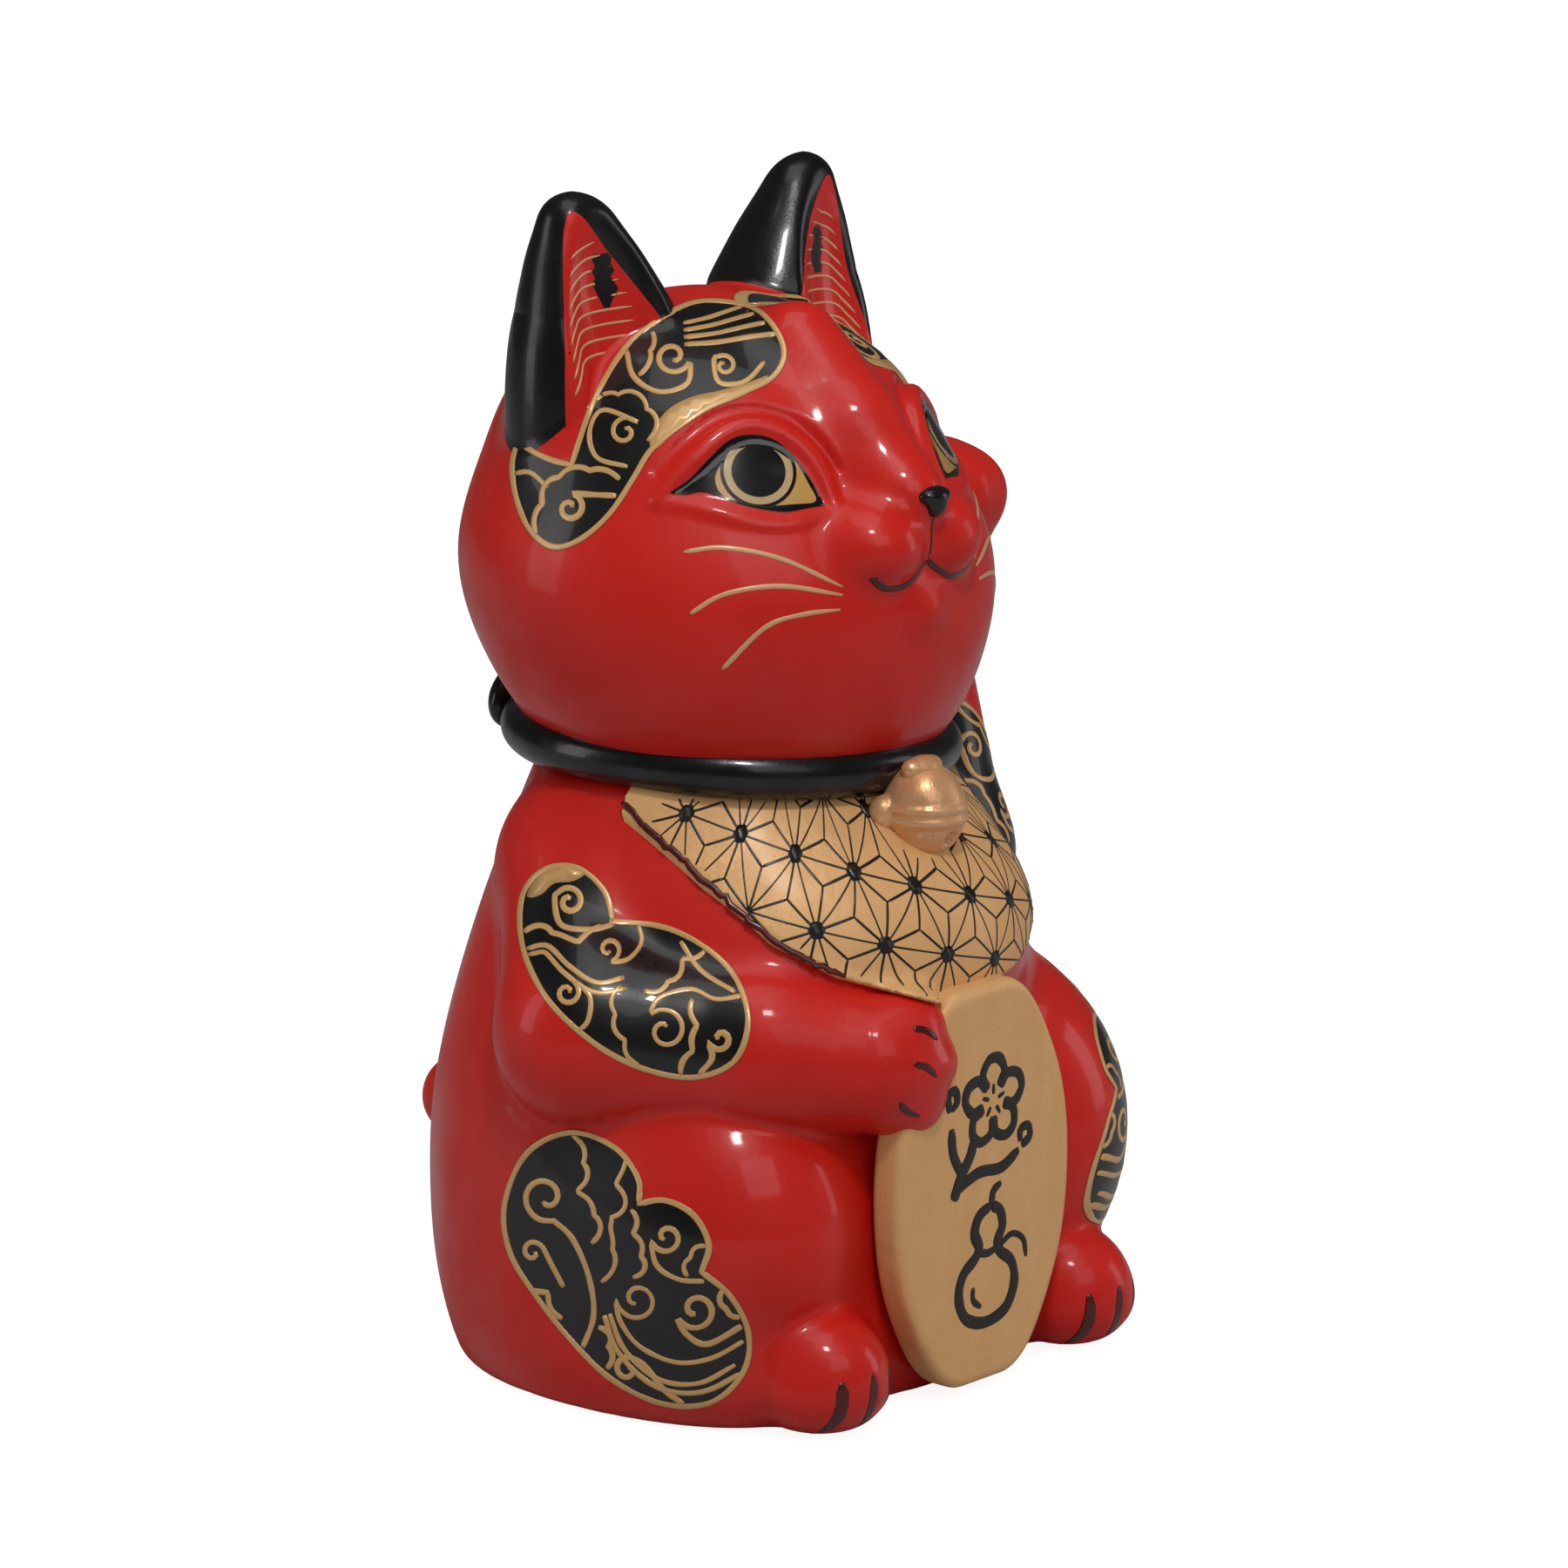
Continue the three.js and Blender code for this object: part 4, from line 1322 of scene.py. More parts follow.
@dataclass
class CollarAssembly:
    """The collar with its knot behind, the bell and its loop."""

    bench: Bench
    sculpt: Sculpt

    def build(self) -> None:
        """Makes the pieces."""
        piece = self.bench.piece
        piece("collar_cord", Shape.sculpted(self.sculpt.collar(), (-30, -22, 72), (30, 40, 85), 0.5), Finish.BLACK,
              "collar")
        back = 38.4
        knot = joined(ball((0, back + 2, 80.5), (3.6, 3.4, 3.8)),
                      ball((8, back + 0.5, 81.1), (7, 2.8, 4.4), (0, 8, -14)),
                      ball((-8, back + 0.5, 81.1), (7, 2.8, 4.4), (0, -8, 14)), softness=1.2)
        grooves = joined(limb((5.5, back + 4, 81), (12, back + 2.2, 82.5), 0.45, 0.2),
                         limb((-5.5, back + 4, 81), (-12, back + 2.2, 82.5), 0.45, 0.2), softness=0.4)
        piece("collar_knot", Shape.sculpted(carved(knot, grooves, 0.8), (-17, back - 5, 74), (17, back + 8, 88), 0.4),
              Finish.BLACK, "collar_bow")
        middle = np.array([1.0, -22.6, 73.6])
        globe = joined(ball(tuple(middle), (5.3, 5.5, 6.1)), ball((-3.6, -20.2, 73.6), (2.3, 2.0, 2.3)), softness=0.5)

        def belted(p: Points) -> np.ndarray:
            """The bell's field: a globe with a double belt."""
            q = p - middle
            flat = np.hypot(q[..., 0] * 1.03, q[..., 1]) - 5.25
            belts = [np.hypot(flat, q[..., 2] - level) - 0.55 for level in (-0.75, 0.75)]
            result = globe(p)
            for belt in belts:
                result = blended(result, belt, 0.5)
            return result

        slit = joined(limb((1, -29.5, 70.2), (1, -26.0, 67.0), 0.5, 0.5), ball((1, -27.7, 70.4), (1.1, 1.6, 1.1)),
                      softness=0.5)
        piece("bell_globe", Shape.sculpted(carved(belted, slit, 0.6), (-8, -31, 65), (8, -14, 81), 0.28),
              Finish.COPPER, "bell")
        loop = joined(limb((-1.4, -22.6, 79.0), (2.6, -22.6, 79.0), 1.3, 1.3),
                      ball((0.6, -22.9, 78.9), (2.2, 1.9, 1.6)),
                      softness=0.8)
        piece("bell_lug", Shape.sculpted(loop, (-4, -27, 75), (4, -19, 84), 0.28), Finish.COPPER, "bell_loop")


@dataclass
class KobanAssembly:
    """The coin tablet with its painted motif."""

    bench: Bench
    sculpt: Sculpt
    front: float = -34.6
    thick: float = 5.0
    centre: float = -0.4

    def tablet(self) -> Form:
        """The tablet: a plate with bulging sides and softened edges."""
        half = smooth_table([(-4, 3.0), (1.2, 6.0), (4, 8.8), (8, 11.6), (15, 14.8), (25, 16.6), (33, 16.4),
                             (41, 14.4),
                             (46, 12.0), (50, 9.4), (53, 6.6), (56, 4.0)])

        def value(p: Points) -> np.ndarray:
            """The field at p."""
            z = p[..., 2]
            side = (np.abs(p[..., 0] - self.centre) - half(z)) * 0.92
            ends = np.maximum(1.4 - z, z - 53.2)
            edge = -blended(-side, -ends, 2.2)
            face = np.abs(p[..., 1] - (self.front + self.thick / 2)) - self.thick / 2
            return -blended(-edge, -face, 1.5)

        return value

    def build(self) -> None:
        """Makes the pieces."""
        tablet = self.tablet()
        self.bench.piece("koban_tablet", Shape.sculpted(tablet, (-19, -37, 0), (19, -27, 55), 0.45), Finish.GOLD,
                         "koban",
                         shade=tablet)
        CoinMotif(self.bench, tablet).build()


@dataclass
class BibAssembly:
    """The bib, with its painted hemp-leaf lattice."""

    bench: Bench
    sculpt: Sculpt
    thick: float = 1.0

    def outline(self) -> Points:
        """The bib's edge, seen from the front."""
        right = [(28.5, 82), (28.3, 75), (26.2, 66), (23.6, 60), (18.6, 56), (10, 52.6), (0, 51.4)]
        left = [(-x, z) for x, z in right[-2::-1]]
        return np.array(right + left, float)

    def form(self) -> Form:
        """The bib's field: a sheet over the body inside the outline."""
        body, edge = self.sculpt.body(True), self.outline()

        def value(p: Points) -> np.ndarray:
            """The field at p."""
            flat = p[..., (0, 2)].reshape(-1, 2)
            distance = edge_distance(flat, edge)
            distance = np.where(within(flat, edge), -distance, distance).reshape(p.shape[:-1])
            skin = body(p)
            sheet = np.abs(skin) - self.thick
            result = -blended(-sheet, -distance, 0.8)
            return np.maximum(result, p[..., 1] - 2.0)

        return value

    def build(self) -> None:
        """Makes the pieces."""
        form = self.form()
        self.bench.piece("bib_cloth", Shape.sculpted(form, (-31, -40, 50), (31, 3, 80), 0.6), Finish.GOLD, "bib")
        ClothPattern(self.bench, self.sculpt, grown(self.sculpt.body(True), self.thick), self.outline()).build()


@dataclass
class StopperAssembly:
    """The rubber stopper under the base."""

    bench: Bench
    sculpt: Sculpt

    def build(self) -> None:
        """Makes the piece."""
        profile = [(0.0, 1.0), (15.2, 1.0), (16.2, 1.3), (16.5, 1.9), (16.3, 2.7), (15.6, 3.1), (12.6, 3.1),
                   (12.2, 3.5),
                   (12.2, 5.2), (12.5, 5.8), (12.2, 6.4), (12.1, 8.4), (11.7, 9.0), (10.0, 9.0), (9.4, 8.4),
                   (9.1, 4.2),
                   (8.5, 3.5), (0.0, 3.4)]
        steps = 72
        rows = smoothed(profile, spacing=0.35)
        rows[0, 0] = rows[-1, 0] = 0
        turn = np.linspace(0, 2 * math.pi, steps, endpoint=False)
        vertices = [(0.0, self.sculpt.body_back, rows[0, 1])]
        for radius, height in rows[1:-1]:
            vertices += [(radius * math.cos(a), self.sculpt.body_back + radius * math.sin(a), height) for a in turn]
        vertices.append((0.0, self.sculpt.body_back, rows[-1, 1]))
        faces = [[0, 1 + (k + 1) % steps, 1 + k] for k in range(steps)]
        rings = len(rows) - 2
        for i in range(rings - 1):
            for k in range(steps):
                a, b = 1 + i * steps + k, 1 + i * steps + (k + 1) % steps
                faces.append([a, b, b + steps, a + steps])
        last = len(vertices) - 1
        faces += [[last, 1 + (rings - 1) * steps + k,
                   1 + (rings - 1) * steps + (k + 1) % steps] for k in range(steps)]
        self.bench.piece("rubber_stopper", Shape(np.array(vertices), faces), Finish.RUBBER, "base_stopper",
                         body="stopper")


# ------------------------ decoration
def curl(middle: Pair, radius: float, start: float, turns: float = 1.15, hand: int = 1,
         tail: Sequence[Pair] = ()) -> Points:
    """A cloud's curl: a spiral that opens out and runs on into a tail.

    Args:
        middle: its centre.
        radius: its outer radius.
        start: the bearing of its outer end, in degrees.
        turns: how many turns it makes.
        hand: 1 winds in anticlockwise from its outer end, -1 clockwise.
        tail: points that its outer end runs on to.

    Returns:
        The path, from its inner end outwards.
    """
    share = np.linspace(0, 1, max(int(30 * turns), 12))
    angle = math.radians(start) + hand * 2 * math.pi * turns * (1 - share)
    size = radius * (0.2 + 0.8 * share ** 0.85)
    path = np.stack([middle[0] + size * np.cos(angle), middle[1] + size * np.sin(angle)], 1)
    if tail:
        path = smoothed(np.concatenate([path[::3], path[-1:], np.array(tail, float)]), spacing=0.5)
    return path


def lobed(points: Sequence[Pair], lobes: int, height: float = 0.7, side: int = 1) -> Points:
    """A cloud's scalloped edge along points.

    Args:
        points: the points that it follows.
        lobes: the number of lobes.
        height: how far each lobe stands out.
        side: 1 to bulge to the left of the path, -1 to the right.

    Returns:
        The path.
    """
    path = smoothed(points, spacing=0.35)
    along = np.gradient(path, axis=0)
    along /= np.linalg.norm(along, axis=1, keepdims=True)
    normal = np.stack([-along[:, 1], along[:, 0]], 1) * side
    wave = np.abs(np.sin(np.linspace(0, math.pi * lobes, len(path)))) ** 0.8
    return path + normal * (wave * height)[:, None]


def ripples(points: Sequence[Pair], count: int, spacing: float) -> list[Points]:
    """Parallel flowing lines beside a first one.

    Args:
        points: the points that the first line follows.
        count: the number of lines.
        spacing: the gap between them where they fan out.

    Returns:
        The paths.
    """
    path = smoothed(points, spacing=0.6)
    along = np.gradient(path, axis=0)
    along /= np.linalg.norm(along, axis=1, keepdims=True)
    normal = np.stack([-along[:, 1], along[:, 0]], 1)
    fan = np.linspace(0.55, 1.0, len(path))[:, None]
    return [path + normal * fan * spacing * k for k in range(count)]


def runs(path: Points, good: np.ndarray, least: int = 3) -> list[Points]:
    """The unbroken stretches of a path where good is true.

    Args:
        path: the path.
        good: whether each of its points is wanted.
        least: the fewest points that make a stretch.

    Returns:
        The stretches.
    """
    stretches, start = [], None
    for i, here in enumerate(list(good) + [False]):
        if here and start is None:
            start = i
        elif not here and start is not None:
            if i - start >= least:
                stretches.append(path[start:i])
            start = None
    return stretches


def kept(path: Points, outline: Points, margin: float) -> list[Points]:
    """The stretches of a path that lie inside an outline, at least margin from its edge."""
    return runs(path, within(path, outline) & (edge_distance(path, outline) > margin), 4)


@dataclass
class CloudPatch:
    """A black cloud-shaped patch with a gold edge and gold cloud scrolls.

    Attributes:
        name: its name.
        chart: where it is laid.
        lobes: its edge, as smooth stretches that meet at cusps.
        scrolls: the gold scrolls inside it.
        gilded: closed gold areas inside it.
        line: the scrolls' width.
        edge: the gold edge's width.
        seed: the start of its random draws.
    """

    name: str
    chart: Chart
    lobes: Sequence[Sequence[Pair]]
    scrolls: Sequence[Points]
    gilded: Sequence[Sequence[Pair]] = ()
    line: float = 0.72
    edge: float = 0.75
    seed: int = 5

    def outline(self) -> Points:
        """The patch's edge as a closed loop."""
        if len(self.lobes) == 1:
            return smoothed(self.lobes[0], closed=True, spacing=0.7)
        return np.concatenate([smoothed(lobe, spacing=0.7)[:-1] for lobe in self.lobes])

    def build(self, bench: Bench) -> None:
        """Makes the patch."""
        rng = np.random.default_rng(self.seed)
        outline = self.outline()
        bench.piece(f"{self.name}_ground", paint_sheet(self.chart, outline, lift=0.06), Finish.DECAL_BLACK,
                    shade=self.chart.form)
        loop = np.concatenate([outline, outline[:3]])
        lines = [Stroke(loop, self.edge, 0.05, 0.07, ends=(0.01, 0.01), tip=1.0)]
        for scroll in self.scrolls:
            for stretch in kept(scroll, outline, 0.15):
                lines.append(Stroke(stretch, self.line * rng.uniform(0.85, 1.12), 0.05, 0.07, ends=(0.6, 0.6),
                                    tip=0.7))
        bench.piece(f"{self.name}_scrolls", paint_lines(self.chart, lines, rng), Finish.DECAL_GOLD)
        if self.gilded:
            areas = [paint_sheet(self.chart, smoothed(area, closed=True, spacing=0.6), lift=0.105, depth=0.1)
                     for area in self.gilded]
            bench.piece(f"{self.name}_gilding", Shape.merged(areas), Finish.DECAL_GOLD)


@dataclass
class Wrap:
    """A drawing wrapped round an upright axis, as distance round it and height.

    Attributes:
        form: the surface's field.
        middle: the axis's x and y.
        radius: the radius at which distances round the axis are true.
        azimuth: the bearing of the drawing's origin, in degrees from the front towards the cat's left.
        mirror: True turns the films' facets round.
    """

    form: Form
    middle: Pair
    radius: float
    azimuth: float
    mirror: bool = False

    def laid(self, drawing: Points, lift: float | np.ndarray) -> Points:
        """Lays (distance round, height) points on the surface."""
        flat = np.asarray(drawing, float)
        turn = math.radians(self.azimuth) + flat[:, 0] / self.radius
        out = np.stack([np.sin(turn), -np.cos(turn), np.zeros(len(turn))], 1)
        axis = np.stack([np.full(len(turn), self.middle[0]), np.full(len(turn), self.middle[1]), flat[:, 1]], 1)
        return landed(self.form, axis + out * (self.radius + 30.0), -out, self.radius + 25.0, lift)


@dataclass
class Decoration:
    """The painted work on the skin: patches, face, ears and eyes."""

    bench: Bench
    sculpt: Sculpt

    def build(self) -> None:
        """Makes the pieces."""
        body, head = self.sculpt.body(True), self.sculpt.head(True)
        self.body_patches(body)
        self.head_patches(head)
        self.face(head)
        self.ears()
        for side, name in ((1, "left"), (-1, "right")):
            self.eye(side, name, head)

    def oblique(self, form: Form, middle: Pair, mirror: bool = False, azimuth: float = 48.0) -> Chart:
        """A board on the cat's right front, or mirrored on its left, at a place on that view's own plane."""
        board = Chart(form, (0, 0, 73.5), azimuth=azimuth if mirror else -azimuth, elevation=13, mirror=mirror)
        right, up, _ = board.axes()
        board.centre = tuple(np.array([0, 0, 73.5]) + right * middle[0] + up * middle[1])
        return board

    def body_patches(self, body: Form) -> None:
        """The patches on the forelegs and haunches."""
        thigh = [[(2.2, 8.4), (2.0, 11.6), (-1.0, 15.2), (-6.5, 16.8), (-12.0, 14.0), (-14.9, 7.5), (-14.3, 1.5),
                  (-11.2, -3.6), (-6.9, -8.9), (-1.5, -13.9), (5.0, -16.8), (11.0, -16.4), (15.0, -12.5),
                  (15.6, -7.5),
                  (13.4, -2.8), (9.9, 0.2)],
                 [(9.9, 0.2), (10.8, 3.6), (8.9, 7.2), (5.4, 8.9), (2.2, 8.4)]]
        scrolls = [
            curl((-9.6, 8.6), 3.1, -70, 1.15, -1, [(-6.2, 3.6), (-4.2, -1.0), (-3.6, -6.0), (-5.2, -10.6)]),
            lobed([(-13.6, 2.0), (-12.6, -1.4), (-9.4, -3.4), (-7.6, -6.6)], 3, 0.8, -1),
            curl((-11.3, 1.6), 1.5, 20, 1.0, 1, [(-8.9, 0.2), (-7.4, -2.6)]),
            lobed([(-6.2, 16.4), (-4.8, 12.6), (-5.6, 9.4), (-3.4, 6.4), (-3.8, 3.2)], 4, 0.75, 1),
            lobed([(0.4, 14.8), (-0.8, 11.4), (-0.2, 8.2), (-2.0, 5.2), (-1.2, 2.0), (-2.6, -1.6)], 4, 0.7, 1),
            curl((5.6, 4.4), 2.0, 200, 1.1, 1, [(4.4, 0.8), (7.0, -0.8), (10.2, -1.0)]),
            lobed([(1.2, 7.6), (1.4, 4.6), (2.4, 1.4), (1.4, -0.8)], 3, 0.7, 1),
            lobed([(10.4, 3.4), (8.6, 1.8), (8.2, -0.4)], 2, 0.6, -1),
            curl((1.9, -3.6), 2.7, 185, 1.2, 1,
                 [(-0.2, -6.6), (2.2, -9.6), (6.6, -11.4), (11.0, -10.8), (15.0, -8.6)]),
            curl((9.2, -4.6), 2.6, 210, 1.15, 1, [(8.0, -7.8), (10.6, -9.0), (15.2, -6.4)]),
            lobed([(12.4, -2.2), (13.0, -4.4), (15.0, -5.4)], 2, 0.5, -1),
            *ripples([(-1.6, -5.6), (0.2, -10.0), (4.4, -13.6), (9.4, -14.0), (14.0, -11.6)], 2, -1.3),
            curl((0.6, -12.6), 1.6, 80, 1.0, 1, [(2.8, -12.0), (5.2, -15.0), (8.0, -17.0)]),
            lobed([(-3.0, -7.4), (-1.8, -9.4), (-2.0, -12.6)], 2, 0.6, 1),
        ]
        for mirror, name, place in ((False, "right", (-20.0, -60.0)), (True, "left", (-8.6, -50.0))):
            CloudPatch(f"{name}_haunch_patch", self.oblique(body, place, mirror), thigh, scrolls).build(self.bench)
        arm = [[(-3.2, 6.0), (-4.2, 9.6), (-7.5, 12.5), (-11.5, 12.5), (-14.4, 9.6), (-14.8, 5.0), (-13.4, 0.4),
                (-10.0, -4.6), (-4.0, -9.6), (2.0, -12.3), (7.5, -12.9), (12.0, -10.8), (13.6, -6.0), (12.0, -0.8),
                (8.0, 3.0), (3.0, 5.3), (-3.2, 6.0)]]
        arm_scrolls = [
            curl((-8.6, 8.4), 1.9, 170, 1.3, -1, [(-9.6, 5.6), (-6.0, 5.0), (-3.0, 5.6)]),
            lobed([(-14.2, 4.6), (-11.4, 4.8), (-8.8, 3.4), (-6.4, 3.8), (-4.4, 5.4)], 3, 0.6, 1),
            *ripples([(-13.8, 2.6), (-11.2, 3.0), (-8.4, 0.6), (-5.0, -1.4), (-1.6, -0.8)], 2, -1.35),
            curl((-3.6, 2.6), 1.5, -80, 1.1, 1, [(-1.2, 1.4), (0.4, 3.4), (0.0, 5.6)]),
            curl((-8.6, -2.6), 1.6, 60, 1.2, -1, [(-5.8, -3.0), (-6.0, -6.0), (-7.4, -7.4)]),
            lobed([(8.4, 2.8), (5.4, 1.4), (4.0, -1.0), (0.8, -2.4)], 3, 0.7, 1),
            curl((3.4, -7.2), 2.7, 130, 1.2, -1, [(2.8, -3.2), (6.6, -2.2), (9.6, -3.4), (12.8, -3.0)]),
            lobed([(-2.0, -1.8), (-2.6, -5.0), (-1.4, -8.4), (0.2, -11.4)], 3, 0.7, -1),
            curl((10.2, -8.2), 1.5, 200, 1.0, 1, [(9.2, -10.6), (7.6, -12.6)]),
            lobed([(6.8, -3.4), (7.4, -6.6), (7.0, -9.4), (5.4, -12.6)], 3, 0.6, -1),
            ripples([(5.8, 4.0), (8.4, 0.8), (12.6, -1.4)], 2, -1.3)[1],
        ]
        cap = [(-14.0, 9.0), (-12.2, 9.2), (-10.6, 10.6), (-8.2, 10.9), (-6.6, 12.1), (-9.4, 12.9), (-12.4, 11.8)]
        CloudPatch("foreleg_patch", self.oblique(body, (-18.0, -23.0)), arm, arm_scrolls,
                   gilded=[cap]).build(self.bench)
        shoulder = [[(-3.8, 10.0), (-5.2, 5.0), (-5.0, -2.0), (-2.6, -8.0), (1.2, -10.6), (4.6, -8.0), (5.4, -2.0),
                     (4.6, 4.4), (1.2, 9.6), (-1.6, 11.4)]]
        shoulder_scrolls = [
            curl((-0.8, 5.0), 2.0, 150, 1.15, -1, [(-2.4, 1.8), (0.2, 0.2), (4.4, 0.8)]),
            curl((1.2, -3.4), 2.0, 200, 1.15, 1, [(0.0, -6.4), (2.8, -7.6), (4.6, -6.6)]),
            lobed([(-4.8, 1.4), (-2.6, -0.6), (-2.8, -4.0), (-1.2, -8.2)], 3, 0.6, 1),
            lobed([(-1.0, 10.6), (2.6, 6.4), (4.4, 3.2)], 2, 0.6, -1),
        ]
        board = Chart(body, (34.5, -4.0, 68.5), azimuth=34, elevation=8)
        CloudPatch("raised_foreleg_patch", board, shoulder, shoulder_scrolls).build(self.bench)

    def head_patches(self, head: Form) -> None:
        """The patches over the temples, from beside the ears to the crown."""
        temple = [[(1.5, 13.0), (6.0, 15.6), (12.0, 15.2), (15.4, 12.4), (17.0, 8.6), (15.6, 5.4), (11.6, 3.2),
                   (7.4, 1.2), (3.6, -1.4), (0.6, -4.0), (-1.6, -7.6), (-4.4, -11.8), (-8.0, -14.9), (-11.4, -15.8),
                   (-14.4, -13.6), (-16.2, -9.6), (-16.8, -5.6), (-16.2, -2.4)],
                  [(-16.2, -2.4), (-13.4, -4.2), (-11.0, -5.2), (-9.2, -5.6)],
                  [(-9.2, -5.6), (-8.4, -3.0), (-6.8, 1.6), (-4.8, 6.0), (-2.0, 10.2), (1.5, 13.0)]]
        scrolls = [
            curl((3.2, 8.0), 2.3, -20, 1.2, -1, [(5.0, 4.4), (1.6, 3.4), (-1.6, 5.4), (-2.6, 9.0)]),
            *ripples([(4.6, 9.6), (8.6, 9.9), (12.6, 10.6), (16.6, 11.0)], 4, 1.75),
            curl((9.6, 6.8), 1.5, 150, 1.2, -1, [(9.0, 4.6), (12.2, 4.8), (14.6, 7.4)]),
            lobed([(0.0, 12.2), (0.4, 9.0), (-1.0, 5.6)], 2, 0.5, 1),
            curl((-2.6, -1.6), 1.9, 40, 1.15, 1, [(-5.4, 1.2), (-7.0, -1.6), (-6.0, -4.8), (-2.2, -6.0)]),
            lobed([(-7.0, 1.0), (-4.2, 3.0), (-1.4, 2.6), (0.6, 0.2), (0.2, -2.8)], 3, 0.7, 1),
            curl((-9.4, -11.0), 1.8, 80, 1.2, -1, [(-6.8, -9.4), (-3.6, -9.6)]),
            lobed([(-13.6, -14.2), (-12.9, -10.6), (-11.4, -7.6), (-7.6, -6.4), (-3.2, -7.6)], 4, 0.6, 1),
            ripples([(-16.4, -6.4), (-14.4, -6.4), (-12.2, -8.4)], 1, 1.0)[0],
        ]
        gilt = [(1.0, -4.0), (0.6, -2.2), (2.4, 0.8), (5.4, 2.6), (9.4, 3.6), (12.6, 4.6), (15.2, 5.6), (12.2, 3.0),
                (7.6, 1.0), (3.8, -1.6)]
        bare = self.sculpt.head(horns=False)
        trimmed: Form = lambda p: np.maximum(head(p), bare(p) - 0.9)
        for mirror, name, place in ((False, "right", (-17.0, 45.0)), (True, "left", (-15.8, 45.4))):
            CloudPatch(f"{name}_temple_patch", self.oblique(trimmed, place, mirror), temple, scrolls,
                       gilded=[gilt], line=0.72).build(self.bench)

    def face(self, head: Form) -> None:
        """The nose, mouth line and whiskers."""
        front = Chart(head, (0, -24, 106.0), azimuth=0, elevation=0, reach=26)
        rng = np.random.default_rng(3)
        nose = joined(ball((0, -24.9, 113.9), (2.5, 1.7, 1.25)), ball((0, -24.9, 112.7), (1.4, 1.6, 1.5)),
                      softness=0.9)
        self.bench.piece("nose_tip", Shape.sculpted(nose, (-4, -28, 110), (4, -22, 117), 0.22), Finish.BLACK, "nose")
        smile = [smoothed([(s * 0.1, -0.4), (s * 1.8, -1.7), (s * 4.4, -3.0), (s * 7.4, -2.9), (s * 9.8, -1.3)],
                          spacing=0.4)
                 for s in (-1, 1)]
        lines = [Stroke(path, 0.86, 0.03, 0.03, ends=(1.2, 2.2), tip=0.6) for path in smile]
        lines.append(Stroke(smoothed([(0, 6.0), (0.05, 3.0), (0, -0.2)], spacing=0.4), 0.34, 0.02, 0.03, (0.8, 0.8)))
        self.bench.piece("mouth_line", paint_lines(front, lines, rng), Finish.CLAW)
        hairs = [[(-12.2, 28.4), (-7.4, 28.9), (-0.4, 27.6), (7.2, 24.2)],
                 [(-11.5, 20.8), (-7.2, 23.2), (-0.4, 24.2), (7.2, 23.2)],
                 [(-7.6, 14.0), (-2.2, 19.2), (2.6, 20.8), (6.9, 21.4)]]
        for mirror, name in ((False, "right"), (True, "left")):
            board = self.oblique(head, (0, 0), mirror)
            strokes = [Stroke(smoothed(hair, spacing=0.7), 0.66, 0.09, 0.0, ends=(1.2, 5.0),
                              tip=0.5) for hair in hairs]
            self.bench.piece(f"{name}_whiskers", paint_lines(board, strokes, rng), Finish.WHISKER)

    def eye(self, side: int, name: str, head: Form) -> None:
        """An eye: a low dome with its lids, amber, ring and pupil painted in turn."""
        plain = self.sculpt.eye_chart(side, head)
        right, up, out = plain.axes()
        middle = plain.laid(np.array([(0.0, -0.3)]), 0.0)[0] - out * 6.2
        dome = ball((0, 0, 0), (9.2, 5.4, 7.0))
        turn = np.stack([right, -out, up], 1)
        eyeball: Form = lambda p: dome((p - middle) @ turn)
        lens: Form = near(eyeball, tuple(middle), 18)
        surface = joined(head, lens, softness=0.8)
        board = Chart(surface, plain.centre, plain.azimuth, plain.elevation, mirror=plain.mirror, reach=24)
        almond = [[(-11.0, -2.6), (-8.4, -0.8), (-5.8, 1.8), (-3.4, 3.9), (-0.8, 4.6), (2.2, 4.0), (4.7, 1.8),
                   (6.7, -1.2), (8.2, -4.3)],
                  [(8.2, -4.3), (6.0, -4.7), (3.4, -5.3), (0.9, -5.1), (-1.9, -4.5), (-4.4, -3.5), (-6.9, -2.6),
                   (-9.1, -2.9), (-11.0, -2.6)]]
        outline = np.concatenate([smoothed(part, spacing=0.45)[:-1] for part in almond])
        low, high = middle - 12, middle + 12
        self.bench.piece(f"{name}_eye_dome", Shape.sculpted(eyeball, tuple(low), tuple(high), 0.5), Finish.EYE_BLACK,
                         f"{name}_eye")
        self.bench.piece(f"{name}_eye_rim", paint_sheet(board, outline, 0.10, 0.7, 0.3), Finish.EYE_BLACK,
                         shade=surface)
        amber = smoothed([(-5.4, -1.3), (-4.5, -3.2), (-1.9, -4.1), (0.9, -4.5), (4.1, -4.3), (7.0, -3.8),
                          (6.2, -1.6),
                          (4.7, 1.2), (2.5, 3.0), (-0.3, 3.6), (-2.8, 2.6), (-4.7, 0.6)], closed=True, spacing=0.4)
        self.bench.piece(f"{name}_eye_amber", paint_sheet(board, amber, 0.16, 0.6, 0.1), Finish.AMBER, shade=surface)

        def disc(radius: float, droop: float) -> Points:
            """A round within the eye's opening, with the upper lid drooping over it."""
            turn_by = np.linspace(0, 2 * math.pi, 64, endpoint=False)
            points = np.stack([radius * np.cos(turn_by), radius * np.sin(turn_by) - 0.1], 1)
            roof = np.interp(points[:, 0], [-5.0, -3.4, -0.8, 2.2, 4.7], [2.2, 3.5, 4.1, 3.6, 1.9]) - droop
            floor = np.interp(points[:, 0], [-4.6, -1.9, 0.9, 4.1], [-3.5, -4.3, -4.75, -4.6])
            points[:, 1] = np.clip(points[:, 1], floor, roof)
            return points

